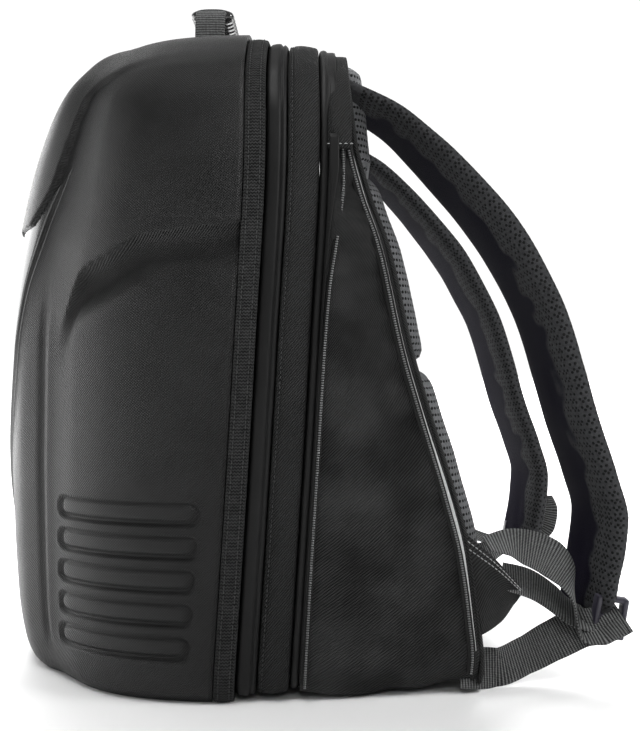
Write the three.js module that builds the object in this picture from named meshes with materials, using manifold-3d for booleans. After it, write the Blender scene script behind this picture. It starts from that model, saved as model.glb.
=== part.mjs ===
// A hard shell backpack with a wedge shaped expansion gusset, seen as separate pieces.
// Millimetres. +X points at the wearer, -X is the shell's nose, -Y is the left side, +Z is up.
// The origin is on the floor, at the middle of the pack's bounding box.

import * as THREE from 'three';
import { mergeVertices } from 'three/addons/utils/BufferGeometryUtils.js';
import Module from 'manifold-3d';

const wasm = await Module();
wasm.setup();

// Driving dimensions of the hard shell
const shellHeight = 490;
const shellWidth = 322;
const shellDepth = 182;
const shellWall = 3;
const rimFootX = -59;
const rimLean = 22;
const hoodRise = 5;
const grooveDepth = 5;
const grooveHalf = 11;

// Front panel set on the nose of the shell
const panelThick = 2.5;
const panelTopUp = 0.66;
const panelFootUp = 0.2;
const panelWidth = 168;

// Vent bars low on each side
const ventCount = 5;
const ventPitch = 23.7;
const ventFirstZ = 35;
const ventHalf = 6.5;
const ventRise = 3.5;

// Rings behind the shell: how far their crown lies below the shell's, then each one's length along
// X, its wall and how far it lies inside the rim
const ringDrop = 4.5;
const gussetDrop = 12;
const bindingLength = 14.5;
const channelLength = 14.5;
const bandLength = 22;
const pipingLength = 7;
const bindingWall = 4;
const channelWall = 7;
const bandWall = 7;
const pipingWall = 6;
const channelInset = 3.5;
const bandInset = 4.5;
const pipingInset = 6;

// Gusset and the board against the back
const gussetInset = 4.5;
const gussetWall = 2.4;
const backInset = 19;
const backDrop = 15;
const backWidth = shellWidth - 2 * backInset;
const backHeight = shellHeight - backDrop;
const backTopX = 27;
const backReach = 100.5;
const backThick = 4;

// Pads on the board
const padInset = 30;
const padWidth = backWidth - 2 * padInset;
const padThick = 14;

// Zips, flaps and tabs on the gusset's sides
const zipWide = 4;
const zipThick = 2;
const flapThick = 2;
const flapWide = 9;
const topTabWide = 9;
const stripLift = 0.9;

// Shoulder straps
const strapTopDrop = 29;
const strapFootZ = 60;
const strapTopZ = backHeight - strapTopDrop;
const strapDrop = strapTopZ - strapFootZ;
const strapReach = 206;
const strapWidth = 70;
const strapThick = 15;
const strapTilt = 12;
const strapSpread = 97;
const strapRootHeight = 30;

// Webbing, adjusters and wing tabs
const webThick = 1.8;
const webWidth = 28;
const lockWidth = 24;
const lockHeight = 31;
const lockThick = 9.5;
const lockBar = 4.5;
const lockY = 114.5;
const lockShift = 5;
const lockLead = 8;
const lowerLead = 20;
const tabThick = 2.4;
const tabReach = 42;
const tabHeight = 72;
const tabFootZ = 36;
const tabChin = 9;

// Carry handle on the crown
const handleSpan = 96;
const handleRise = 36;
const handleWidth = 25;
const handleThick = 3.2;
const handleX = -77;
const gripLength = 62;
const gripWidth = 36;
const gripThick = 11;

// Clearances
const gap = 0.3;
const skin = 0.05;

const halfWidth = shellWidth / 2;

// Sections of the shell from the floor up: height, half width at the rim and how far the nose
// stands out from the rim's foot, as shares of shellHeight, halfWidth and shellDepth.
const shellLevels = [
  { up: 0.0, width: 0.955, nose: 0.861 },
  { up: 0.016, width: 0.985, nose: 0.9 },
  { up: 0.045, width: 1.0, nose: 0.93 },
  { up: 0.1, width: 1.0, nose: 0.958 },
  { up: 0.216, width: 1.0, nose: 0.981 },
  { up: 0.357, width: 1.0, nose: 0.9945 },
  { up: 0.496, width: 1.0, nose: 0.995 },
  { up: 0.584, width: 1.0, nose: 0.975 },
  { up: 0.686, width: 1.0, nose: 0.923 },
  { up: 0.763, width: 1.0, nose: 0.874 },
  { up: 0.843, width: 0.985, nose: 0.803 },
  { up: 0.9, width: 0.925, nose: 0.737 },
  { up: 0.941, width: 0.82, nose: 0.664 },
  { up: 0.965, width: 0.73, nose: 0.612 },
  { up: 0.982, width: 0.62, nose: 0.556 },
  { up: 0.993, width: 0.5, nose: 0.478 },
  { up: 1.0, width: 0.385, nose: 0.34 },
];

// Plan curve of half the shell, from the rim to the nose: shares of the depth and half width there.
const planCurve = [
  { deep: 0.0, wide: 1.0 },
  { deep: 0.07, wide: 0.997 },
  { deep: 0.15, wide: 0.99 },
  { deep: 0.3, wide: 0.965 },
  { deep: 0.45, wide: 0.92 },
  { deep: 0.58, wide: 0.85 },
  { deep: 0.68, wide: 0.765 },
  { deep: 0.75, wide: 0.7 },
  { deep: 0.86, wide: 0.62 },
  { deep: 0.93, wide: 0.5 },
  { deep: 0.975, wide: 0.33 },
  { deep: 0.995, wide: 0.15 },
  { deep: 1.0, wide: 0.0 },
];

// Lean of the rim: shares of shellHeight and rimLean.
const rimLine = [
  { up: 0.0, lean: 0.0 },
  { up: 0.5, lean: 0.68 },
  { up: 0.8, lean: 1.0 },
  { up: 1.0, lean: 0.93 },
];

// Lower edge of the hood: shares of the shell's depth and height, and of the hood's rise there. It is a
// lip over the front panel and runs out as a soft crease along the crown.
const hoodEdge = [
  { deep: 0.0, up: 0.92, rise: 0.0 },
  { deep: 0.34, up: 0.915, rise: 0.1 },
  { deep: 0.53, up: 0.908, rise: 0.25 },
  { deep: 0.66, up: 0.897, rise: 0.35 },
  { deep: 0.727, up: 0.877, rise: 0.45 },
  { deep: 0.75, up: 0.82, rise: 0.6 },
  { deep: 0.778, up: 0.749, rise: 1.0 },
  { deep: 0.826, up: 0.705, rise: 1.0 },
  { deep: 0.87, up: 0.683, rise: 1.0 },
  { deep: 1.0, up: 0.68, rise: 1.0 },
];

// Middle of the groove across the side: shares of the shell's depth and height.
const grooveLine = [
  { deep: 0.0, up: 0.647 },
  { deep: 0.36, up: 0.632 },
  { deep: 0.48, up: 0.606 },
  { deep: 0.58, up: 0.585 },
  { deep: 0.66, up: 0.5 },
];

// Line of the board against the back: shares of backHeight and backReach.
const backLine = [
  { up: 0.0, reach: 0.985 },
  { up: 0.047, reach: 1.0 },
  { up: 0.094, reach: 0.98 },
  { up: 0.202, reach: 0.915 },
  { up: 0.294, reach: 0.806 },
  { up: 0.411, reach: 0.637 },
  { up: 0.506, reach: 0.507 },
  { up: 0.662, reach: 0.34 },
  { up: 0.745, reach: 0.2 },
  { up: 0.817, reach: 0.11 },
  { up: 0.915, reach: 0.06 },
  { up: 1.0, reach: 0.0 },
];

// Value of a table column at x, straight between the rows.
function lookUp(table, from, to, x) {
  let i = 1;
  while (i < table.length - 1 && table[i][from] < x) i += 1;
  const a = table[i - 1];
  const b = table[i];
  const t = THREE.MathUtils.clamp((x - a[from]) / (b[from] - a[from]), 0, 1);
  return a[to] + (b[to] - a[to]) * t;
}

// Closed geometry from a list of sections with the same number of points. An open run gets a fan
// at each end, and a ring of sections joins its last to its first.
function loft(sections, isRing = false) {
  const count = sections[0].length;
  const positions = sections.flat(2);
  const faces = [];
  const spans = isRing ? sections.length : sections.length - 1;
  for (let i = 0; i < spans; i += 1) {
    const here = i * count;
    const next = ((i + 1) % sections.length) * count;
    for (let j = 0; j < count; j += 1) {
      const k = (j + 1) % count;
      faces.push(here + j, here + k, next + k, here + j, next + k, next + j);
    }
  }
  if (!isRing) {
    for (const [start, flip] of [[0, true], [(sections.length - 1) * count, false]]) {
      const middle = [0, 0, 0];
      for (let j = 0; j < count; j += 1) {
        for (let axis = 0; axis < 3; axis += 1) middle[axis] += positions[(start + j) * 3 + axis] / count;
      }
      const centre = positions.length / 3;
      positions.push(...middle);
      for (let j = 0; j < count; j += 1) {
        const a = start + j;
        const b = start + ((j + 1) % count);
        if (flip) faces.push(centre, b, a);
        else faces.push(centre, a, b);
      }
    }
  }
  const geometry = new THREE.BufferGeometry();
  geometry.setAttribute('position', new THREE.Float32BufferAttribute(positions, 3));
  geometry.setIndex(signedVolume(positions, faces) < 0 ? faces.reverse() : faces);
  return geometry;
}

function signedVolume(positions, faces) {
  const point = (i) => new THREE.Vector3().fromArray(positions, i * 3);
  let volume = 0;
  for (let i = 0; i < faces.length; i += 3) {
    const a = point(faces[i]);
    volume += a.dot(point(faces[i + 1]).cross(point(faces[i + 2])));
  }
  return volume;
}

// Solid for joining and cutting, from a closed geometry.
function toSolid(geometry) {
  const bare = geometry.clone();
  bare.deleteAttribute('normal');
  bare.deleteAttribute('uv');
  const merged = mergeVertices(bare, 1e-4);
  const vertProperties = new Float32Array(merged.attributes.position.array);
  const triVerts = new Uint32Array(merged.index.array);
  return new wasm.Manifold(new wasm.Mesh({ numProp: 3, vertProperties, triVerts }));
}

function toGeometry(solid) {
  const mesh = solid.getMesh();
  const geometry = new THREE.BufferGeometry();
  geometry.setAttribute('position', new THREE.BufferAttribute(mesh.vertProperties, 3));
  geometry.setIndex(new THREE.BufferAttribute(mesh.triVerts, 1));
  return geometry;
}

const rimX = (z) => rimFootX + rimLean * lookUp(rimLine, 'up', 'lean', z / shellHeight);
const backX = (z) => backTopX + backReach * lookUp(backLine, 'up', 'reach', z / backHeight);
const boardX = (z) => backX(z) + backThick;

// Outward relief of the shell at a depth share and height share: the hood rises, the groove sinks.
function relief(deep, up) {
  const overLip = up - lookUp(hoodEdge, 'deep', 'up', deep);
  const rise = hoodRise * lookUp(hoodEdge, 'deep', 'rise', deep);
  const hood = rise * THREE.MathUtils.smoothstep(overLip, -0.004, 0.012);
  const offGroove = ((up - lookUp(grooveLine, 'deep', 'up', deep)) * shellHeight) / grooveHalf;
  const runsOut = 1 - THREE.MathUtils.smoothstep(deep, 0.55, 0.68);
  return hood - grooveDepth * runsOut * Math.exp(-offGroove * offGroove);
}

// Half a plan section of the shell, from rim to nose, moved outward along its normal.
function planHalf(up, outward) {
  const z = up * shellHeight;
  const rim = rimX(z);
  const depth = rim - (rimFootX - shellDepth * lookUp(shellLevels, 'up', 'nose', up));
  const half = halfWidth * lookUp(shellLevels, 'up', 'width', up);
  const points = planCurve.map(({ deep, wide }) => new THREE.Vector2(rim - depth * deep, half * wide));
  return points.map((point, i) => {
    const before = points[Math.max(i - 1, 0)];
    const after = points[Math.min(i + 1, points.length - 1)];
    const along = after.clone().sub(before).normalize();
    if (i === 0) along.set(-1, 0);
    if (i === points.length - 1) along.set(0, -1);
    const normal = new THREE.Vector2(along.y, -along.x);
    return point.clone().addScaledVector(normal, outward(planCurve[i].deep, up));
  });
}

// Closed plan section: near side from rim to nose, then far side back to the rim.
function planSection(up, z, outward, rimShift = 0) {
  const half = planHalf(up, outward);
  half[0].x += rimShift;
  const near = half.map((p) => [p.x, -p.y, z]);
  const far = half.slice(0, -1).reverse().map((p) => [p.x, p.y, z]);
  return [...near, ...far];
}

// Heights at which the shell is cut, finer where the groove and the lip turn.
const fineHeights = [0.28, 0.607, 0.628, 0.65, 0.67, 0.695, 0.73, 0.8, 0.875];
const shellHeights = [...shellLevels.map((level) => level.up), ...fineHeights].sort((a, b) => a - b);

function ventBar(index, side) {
  const z = ventFirstZ + ventPitch * index;
  const up = z / shellHeight;
  const run = planHalf(up, () => 0).slice(1, 7);
  const sections = run.map((p, i) => {
    const isEnd = i === 0 || i === run.length - 1;
    const half = isEnd ? ventHalf * 0.55 : ventHalf;
    const rise = isEnd ? ventRise * 0.4 : ventRise;
    const inner = p.y - shellWall * 0.6;
    return [
      [p.x, side * inner, z - half],
      [p.x, side * (p.y + rise * 0.4), z - half],
      [p.x, side * (p.y + rise), z - half * 0.5],
      [p.x, side * (p.y + rise), z + half * 0.5],
      [p.x, side * (p.y + rise * 0.4), z + half],
      [p.x, side * inner, z + half],
    ];
  });
  return toSolid(loft(sections));
}

// Closed form of the shell's outside, grown by a clearance.
function shellForm(clearance) {
  const grown = (deep, up) => relief(deep, up) + clearance;
  return toSolid(loft(shellHeights.map((up) => planSection(up, up * shellHeight, grown))));
}

function shellGeometry() {
  const lift = shellWall / shellHeight;
  const innerHeights = shellHeights.filter((up) => up > lift && up < 1 - lift);
  const thinner = (deep, up) => relief(deep, up) - shellWall;
  const pastRim = shellWall * 4;
  const cavity = innerHeights.map((up) => planSection(up, up * shellHeight, thinner, pastRim));
  const floorCut = planSection(lift, shellWall, thinner, pastRim);
  const roofUp = 1 - lift;
  const roofCut = planSection(roofUp, shellHeight - shellWall, thinner, pastRim);
  let shell = shellForm(0).subtract(toSolid(loft([floorCut, ...cavity, roofCut])));
  for (let index = 0; index < ventCount; index += 1) {
    for (const side of [-1, 1]) shell = shell.add(ventBar(index, side));
  }
  return toGeometry(shell);
}

// Glossy insert on the nose: a strip of the plan curve between two heights, narrower at its foot.
function frontPanelGeometry() {
  const rows = [];
  const steps = 7;
  const across = 9;
  for (let i = 0; i <= steps; i += 1) {
    const up = THREE.MathUtils.lerp(panelFootUp, panelTopUp, i / steps);
    const widen = 0.45 + 0.55 * Math.sin((i / steps) * Math.PI * 0.5);
    const limit = (panelWidth / 2) * widen;
    const front = planHalf(up, () => gap + panelThick);
    const back = planHalf(up, () => -shellWall);
    const at = (curve, y) => {
      const sorted = curve.map((p) => ({ y: Math.abs(p.y), x: p.x })).sort((a, b) => a.y - b.y);
      return lookUp(sorted, 'y', 'x', Math.abs(y));
    };
    const section = [];
    for (let j = 0; j <= across; j += 1) {
      const y = THREE.MathUtils.lerp(-limit, limit, j / across);
      section.push([at(front, y), y, up * shellHeight]);
    }
    for (let j = across; j >= 0; j -= 1) {
      const y = THREE.MathUtils.lerp(-limit, limit, j / across);
      section.push([at(back, y), y, up * shellHeight]);
    }
    rows.push(section);
  }
  return toGeometry(toSolid(loft(rows)).subtract(shellForm(gap)));
}

// Outline round the body in the YZ plane, drawn in by an inset, from the middle of the floor up the
// far side and back down the near side.
function bodyOutline(width, height, inset = 0) {
  const half = width / 2 - inset;
  const side = shellHeights.map((up) => [
    half * lookUp(shellLevels, 'up', 'width', up),
    inset + (height - 2 * inset) * up,
  ]);
  const far = side.map(([y, z]) => new THREE.Vector2(y, z));
  const near = side.map(([y, z]) => new THREE.Vector2(-y, z)).reverse();
  const flats = [0.5, 0, -0.5];
  const top = flats.map((share) => new THREE.Vector2(far.at(-1).x * share, far.at(-1).y));
  const floor = flats.map((share) => new THREE.Vector2(-far[0].x * share, far[0].y));
  return [...far, ...top, ...near, ...floor];
}

const rimOutline = (inset) => bodyOutline(shellWidth, shellHeight - ringDrop, inset);
const gussetOutline = (inset) => bodyOutline(shellWidth, shellHeight - gussetDrop, inset);
const backOutline = (inset) => bodyOutline(backWidth, backHeight, inset);

// Ring round the body that follows the rim's lean.
function ring(start, length, inset, wall) {
  const outer = rimOutline(inset);
  const inner = rimOutline(inset + wall);
  const sections = outer.map((point, i) => {
    const front = rimX(point.y) + start;
    const inFront = rimX(inner[i].y) + start;
    return [
      [front, point.x, point.y],
      [front + length, point.x, point.y],
      [inFront + length, inner[i].x, inner[i].y],
      [inFront, inner[i].x, inner[i].y],
    ];
  });
  return loft(sections, true);
}

const bindingStart = gap;
const channelStart = bindingStart + bindingLength + gap;
const bandStart = channelStart + channelLength + gap;
const pipingStart = bandStart + bandLength + gap;
const gussetStart = pipingStart + pipingLength + gap;

// Point on the gusset's outer face: index round the body, share from front to rear.
function gussetPoint(i, share, inset = 0) {
  const front = gussetOutline(gussetInset + inset)[i];
  const rear = backOutline(inset)[i];
  const y = THREE.MathUtils.lerp(front.x, rear.x, share);
  const z = THREE.MathUtils.lerp(front.y, rear.y, share);
  const startX = rimX(front.y) + gussetStart;
  const endX = backX(rear.y) - gap;
  return [THREE.MathUtils.lerp(startX, endX, share), y, z];
}

// The gusset's wall.
function gussetGeometry() {
  const outside = [0, 0.15, 0.5, 0.85, 1];
  const inside = [1, 0.5, 0];
  const sections = rimOutline(0).map((_, i) => [
    ...outside.map((share) => gussetPoint(i, share)),
    ...inside.map((share) => gussetPoint(i, share, gussetWall)),
  ]);
  return loft(sections, true);
}

// The board, with its face towards the pads grown by a clearance.
function backPanelGeometry(clearance = 0) {
  const sections = backOutline(0)
    .slice(0, shellHeights.length)
    .map((point) => {
      const x = backX(point.y);
      return [
        [x, -point.x, point.y],
        [x, point.x, point.y],
        [x + backThick + clearance, point.x, point.y],
        [x + backThick + clearance, -point.x, point.y],
      ];
    });
  return loft(sections);
}

// Crowned pad on the board between two heights, given as shares of backHeight.
const padShape = [
  { along: 0.0, wide: 0.8, thick: 0.35 },
  { along: 0.06, wide: 0.94, thick: 0.8 },
  { along: 0.2, wide: 1.0, thick: 1.0 },
  { along: 0.5, wide: 1.0, thick: 1.0 },
  { along: 0.8, wide: 1.0, thick: 1.0 },
  { along: 0.94, wide: 0.94, thick: 0.8 },
  { along: 1.0, wide: 0.8, thick: 0.35 },
];
const padCrown = [
  { across: -1.0, thick: 0.3 },
  { across: -0.92, thick: 0.85 },
  { across: -0.7, thick: 1.0 },
  { across: 0.0, thick: 0.9 },
  { across: 0.7, thick: 1.0 },
  { across: 0.92, thick: 0.85 },
  { across: 1.0, thick: 0.3 },
];

function padForm({ foot, top, width }, clearance = 0) {
  const low = foot * backHeight - clearance;
  const high = top * backHeight + clearance;
  const sections = padShape.map(({ along, wide, thick }) => {
    const z = THREE.MathUtils.lerp(low, high, along);
    const half = (padWidth / 2) * width * wide + clearance;
    const seat = boardX(z) - backThick / 2;
    const crown = padCrown.map((row) => {
      const x = boardX(z) + gap + padThick * thick * row.thick + clearance;
      return [x, half * row.across, z];
    });
    return [[seat, half, z], [seat, -half, z], ...crown];
  });
  return toSolid(loft(sections));
}

const padGeometry = (pad) => toGeometry(padForm(pad).subtract(toSolid(backPanelGeometry(gap))));

const pads = {
  pad_low: { foot: 0.16, top: 0.478, width: 1 },
  pad_mid: { foot: 0.492, top: 0.79, width: 1 },
  pad_top: { foot: 0.804, top: 0.975, width: 0.88 },
};

// Straps: outer edge, as shares of strapReach and strapDrop from the top of the root, with the
// shares of strapThick, strapWidth, strapSpread and strapTilt there. Both straps hang turned the same
// way: their right edge lies nearer to the pack by the tilt.
const strapPath = [
  { out: 0.185, down: 0.05, thick: 0.8, wide: 0.94, spread: 0.86, tilt: 0.4 },
  { out: 0.325, down: 0.112, thick: 0.85, wide: 0.98, spread: 0.9, tilt: 0.7 },
  { out: 0.483, down: 0.198, thick: 0.95, wide: 1.0, spread: 0.95, tilt: 0.9 },
  { out: 0.607, down: 0.28, thick: 1.0, wide: 1.0, spread: 0.98, tilt: 1.0 },
  { out: 0.694, down: 0.36, thick: 1.0, wide: 1.0, spread: 1.0, tilt: 1.0 },
  { out: 0.772, down: 0.445, thick: 1.0, wide: 1.0, spread: 1.0, tilt: 1.0 },
  { out: 0.835, down: 0.552, thick: 1.0, wide: 1.0, spread: 1.0, tilt: 1.0 },
  { out: 0.888, down: 0.653, thick: 1.0, wide: 1.0, spread: 1.0, tilt: 1.0 },
  { out: 0.956, down: 0.759, thick: 1.0, wide: 0.98, spread: 0.99, tilt: 1.0 },
  { out: 1.0, down: 0.852, thick: 1.0, wide: 0.94, spread: 0.98, tilt: 1.0 },
  { out: 0.995, down: 0.912, thick: 1.0, wide: 0.88, spread: 0.97, tilt: 1.1 },
  { out: 0.966, down: 1.0, thick: 0.9, wide: 0.8, spread: 0.96, tilt: 1.2 },
];
const strapRound = [
  { across: -1.0, through: 0.3 },
  { across: -1.0, through: 0.7 },
  { across: -0.88, through: 1.0 },
  { across: 0.88, through: 1.0 },
  { across: 1.0, through: 0.7 },
  { across: 1.0, through: 0.3 },
  { across: 0.88, through: 0.0 },
  { across: -0.88, through: 0.0 },
];

const strapRootX = boardX(strapTopZ) + gap;
const strapOuter = strapPath.map((row) => new THREE.Vector2(
  strapRootX + strapReach * row.out,
  strapTopZ - strapDrop * row.down,
));

// The strap's face at a row: its outer edge and the way through to the inner face.
function strapInward(i) {
  const before = strapOuter[Math.max(i - 1, 0)];
  const after = strapOuter[Math.min(i + 1, strapOuter.length - 1)];
  const along = after.clone().sub(before).normalize();
  return new THREE.Vector2(along.y, -along.x);
}

// How far the turn of the strap moves a place across it towards the pack.
const strapTurn = (row, across) => (strapTilt * row.tilt * (1 + across)) / 2;

function strapGeometry(side) {
  const slice = (outer, inward, row) => strapRound.map(({ across, through }) => {
    const depth = strapThick * row.thick * through + strapTurn(row, across);
    const p = outer.clone().addScaledVector(inward, depth);
    const y = side * strapSpread * row.spread + (strapWidth / 2) * row.wide * across;
    return [p.x, y, p.y];
  });
  const rootFoot = strapTopZ - strapRootHeight;
  const root = strapRound.map((row) => {
    const z = THREE.MathUtils.lerp(strapTopZ, rootFoot, row.through);
    const half = (strapWidth / 2) * 0.9;
    return [boardX(z), side * strapSpread * 0.84 + half * row.across, z];
  });
  const run = strapPath.map((row, i) => slice(strapOuter[i], strapInward(i), row));
  const board = toSolid(backPanelGeometry(gap));
  const body = toSolid(loft([root, ...run]));
  return toGeometry(body.subtract(padForm(pads.pad_top, gap)).subtract(board));
}

// Where the adjuster meets the strap's lower end face, and the way the strap runs there.
function strapEnd(side) {
  const last = strapPath.length - 1;
  const row = strapPath[last];
  const across = (side * (lockY - strapSpread * row.spread)) / ((strapWidth / 2) * row.wide);
  const depth = (strapThick * row.thick) / 2 - lockShift + strapTurn(row, across);
  const middle = strapOuter[last].clone().addScaledVector(strapInward(last), depth);
  const along = strapOuter[last].clone().sub(strapOuter[last - 1]).normalize();
  return { middle, along };
}

// Frame with one middle bar, hung under the strap's end and turned in line with it.
function ladderLock(side) {
  const shape = new THREE.Shape();
  const w = lockWidth / 2;
  shape.moveTo(-w, -lockHeight);
  shape.lineTo(w, -lockHeight);
  shape.lineTo(w, 0);
  shape.lineTo(-w, 0);
  const slotHeight = (lockHeight - 3 * lockBar) / 2;
  for (const foot of [-lockHeight + lockBar, -lockHeight + 2 * lockBar + slotHeight]) {
    const slot = new THREE.Path();
    slot.moveTo(-w + lockBar, foot);
    slot.lineTo(-w + lockBar, foot + slotHeight);
    slot.lineTo(w - lockBar, foot + slotHeight);
    slot.lineTo(w - lockBar, foot);
    shape.holes.push(slot);
  }
  const geometry = new THREE.ExtrudeGeometry(shape, { depth: lockThick, bevelEnabled: false });
  geometry.translate(0, 0, -lockThick / 2);
  geometry.rotateX(Math.PI / 2);
  const { middle, along } = strapEnd(side);
  geometry.rotateY(-Math.atan2(along.x, -along.y));
  const reach = gap + skin;
  geometry.translate(middle.x + along.x * reach, side * lockY, middle.y + along.y * reach);
  return geometry;
}

// Flat webbing that stands beside the pack, along a short list of points.
function webbing(points, side) {
  const sections = points.map(({ x, y, z, wide }, i) => {
    const before = points[Math.max(i - 1, 0)];
    const after = points[Math.min(i + 1, points.length - 1)];
    const along = new THREE.Vector2(after.x - before.x, after.z - before.z).normalize();
    const half = (webWidth * wide) / 2;
    const corner = (a, b) => [
      x - along.y * half * a,
      side * (y + (webThick / 2) * b),
      z + along.x * half * a,
    ];
    return [corner(-1, -1), corner(1, -1), corner(1, 1), corner(-1, 1)];
  });
  return loft(sections);
}

// Point beside the adjuster's edge towards the pack: a share down its height, and how far off it.
function lockSide(side, share, off) {
  const { middle, along } = strapEnd(side);
  return middle
    .addScaledVector(along, lockHeight * share)
    .addScaledVector(new THREE.Vector2(along.y, -along.x), lockWidth / 2 + off);
}

const boardFootX = backTopX + backReach + backThick + 3 * gap;

// Route shares run from the board's foot to a lead beside the adjuster, heights are shares of the
// adjuster's middle height, and out is a share of how far the route's start stands off to the side.
// The last two points lie square to the adjuster's edge.
function routeTo(rows, seat, y, side) {
  const lead = lockSide(side, seat, lockLead);
  const end = lockSide(side, seat, gap + skin);
  const { wide } = rows.at(-1);
  const route = rows.map((row) => ({
    x: THREE.MathUtils.lerp(boardFootX, lead.x, row.along),
    y: y + lowerLead * (row.out ?? 0),
    z: lockSide(side, 0.5, 0).y * row.high,
    wide: row.wide,
  }));
  return [...route, { x: lead.x, y, z: lead.y, wide }, { x: end.x, y, z: end.y, wide }];
}

const lowerRoute = [
  { along: 0.0, high: 0.36, wide: 1.0, out: 1.0 },
  { along: 0.3, high: 0.38, wide: 1.05, out: 0.75 },
  { along: 0.57, high: 0.54, wide: 1.05, out: 0.3 },
  { along: 0.79, high: 0.78, wide: 0.95, out: 0.0 },
  { along: 0.93, high: 0.93, wide: 0.85, out: 0.0 },
];
const tabRoute = [
  { along: 0.44, high: 1.45, wide: 0.55 },
  { along: 0.6, high: 1.36, wide: 0.62 },
  { along: 0.75, high: 1.12, wide: 0.6 },
  { along: 0.88, high: 1.0, wide: 0.5 },
];
const tailRoute = [
  { along: 0.0, high: 2.28, wide: 0.4 },
  { along: 0.2, high: 2.27, wide: 0.62 },
  { along: 0.45, high: 2.2, wide: 0.85 },
  { along: 0.64, high: 1.98, wide: 0.85 },
  { along: 0.76, high: 1.6, wide: 0.72 },
  { along: 0.8, high: 1.25, wide: 0.5 },
  { along: 0.88, high: 1.1, wide: 0.36 },
];

// Webbing pieces: where each meets the adjuster's edge, and how far beside its middle.
const routes = [
  { name: 'lower_webbing', rows: lowerRoute, seat: 0.55, beside: 0 },
  { name: 'tab_webbing', rows: tabRoute, seat: 0.5, beside: -3 },
  { name: 'tail_webbing', rows: tailRoute, seat: 0.4, beside: 3 },
];

// Triangular fabric tab on the board's side edge, with its tip towards the adjuster.
function wingTab(side) {
  const rows = [0, 0.25, 0.5, 0.75, 1];
  const edge = rows.map((share) => {
    const z = tabFootZ + tabHeight * share;
    return new THREE.Vector2(boardX(z) + gap, z);
  });
  const tip = new THREE.Vector2(boardX(tabFootZ) + tabReach, tabFootZ + tabHeight * 0.34);
  const lower = new THREE.Vector2(boardX(tabFootZ) + tabReach * 0.9, tip.y - tabChin);
  const shape = new THREE.Shape([...edge, tip, lower]);
  const geometry = new THREE.ExtrudeGeometry(shape, { depth: tabThick, bevelEnabled: false });
  geometry.rotateX(Math.PI / 2);
  geometry.translate(0, side * (backWidth / 2 - tabThick) + tabThick / 2, 0);
  return geometry;
}

// Index in the outline of the first shell height past a share, on the near or far side.
function sideIndex(up, side) {
  const level = shellHeights.findIndex((height) => height >= up);
  const farCount = shellHeights.length;
  const flatCount = 3;
  return side > 0 ? level : farCount + flatCount + (farCount - 1 - level);
}

// Strip that lies on the gusset's side, in rows that give where it starts behind the front edge.
function gussetStrip(side, rows, thick) {
  const sections = rows.map(({ up, start, wide }) => {
    const i = sideIndex(up, side);
    const length = gussetPoint(i, 1)[0] - gussetPoint(i, 0)[0];
    const a = Math.min(start + gap, length - gap - wide) / length;
    const b = a + wide / length;
    const corner = (share, out) => gussetPoint(i, share, -out);
    const top = stripLift + thick;
    return [corner(a, stripLift), corner(b, stripLift), corner(b, top), corner(a, top)];
  });
  return loft(sections);
}

const between = (low, high) => shellHeights.filter((up) => up >= low && up <= high);
const zipUps = between(0.016, 0.77);
const flapUps = between(0.45, 0.81);
const tabUps = between(0.82, 0.95);

// Width of the flap beside the front zip at a height share: it runs out to nothing low down.
const flapWidth = (up) => flapWide * THREE.MathUtils.smoothstep(up, 0.1, 0.75);

function zipFront(side) {
  const rows = zipUps.map((up) => ({ up, start: flapWidth(up) + gap, wide: zipWide }));
  return gussetStrip(side, rows, zipThick);
}

function zipRear(side) {
  const rows = zipUps.map((up) => ({ up, start: Infinity, wide: zipWide }));
  return gussetStrip(side, rows, zipThick);
}

function flapStrip(side) {
  return gussetStrip(side, flapUps.map((up) => ({ up, start: 0, wide: flapWidth(up) })), flapThick);
}

function topTab(side) {
  return gussetStrip(side, tabUps.map((up) => ({ up, start: 0, wide: topTabWide })), flapThick);
}

// Carry handle: flat feet on the crown, legs and a straight span.
function handleGeometry() {
  const seat = shellHeight + gap;
  const half = handleSpan / 2;
  const path = [
    { y: -half - handleWidth * 0.2, z: 0 },
    { y: -half + handleThick, z: 0 },
    { y: -half + handleThick * 1.6, z: handleRise * 0.25 },
    { y: -half + handleThick * 2.5, z: handleRise * 0.8 },
    { y: -half + handleThick * 5, z: handleRise },
  ];
  const line = [...path, ...path.map((p) => ({ y: -p.y, z: p.z })).reverse()];
  const sections = line.map((p, i) => {
    const before = line[Math.max(i - 1, 0)];
    const after = line[Math.min(i + 1, line.length - 1)];
    const along = new THREE.Vector2(after.y - before.y, after.z - before.z).normalize();
    const lift = i === 0 || i === line.length - 1 ? new THREE.Vector2(0, 1) : new THREE.Vector2(-along.y, along.x);
    const corner = (a, b) => [
      handleX + (handleWidth / 2) * a,
      p.y + lift.x * handleThick * b,
      seat + p.z + lift.y * handleThick * b,
    ];
    return [corner(-1, 0), corner(1, 0), corner(1, 1), corner(-1, 1)];
  });
  return loft(sections);
}

// Grip: a sleeve with the webbing through it.
function gripGeometry() {
  const outline = new THREE.Shape();
  const w = gripWidth / 2;
  const h = gripThick / 2;
  outline.absellipse(0, 0, w, h, 0, Math.PI * 2);
  const hole = new THREE.Path();
  const holeW = handleWidth / 2 + gap;
  const holeH = handleThick / 2 + gap;
  hole.moveTo(-holeW, -holeH);
  hole.lineTo(-holeW, holeH);
  hole.lineTo(holeW, holeH);
  hole.lineTo(holeW, -holeH);
  outline.holes.push(hole);
  const options = { depth: gripLength, bevelEnabled: false, curveSegments: 8 };
  const geometry = new THREE.ExtrudeGeometry(outline, options);
  geometry.translate(0, 0, -gripLength / 2);
  geometry.rotateX(Math.PI / 2);
  geometry.translate(handleX, 0, shellHeight + gap + handleRise + handleThick / 2);
  return geometry;
}

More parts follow.
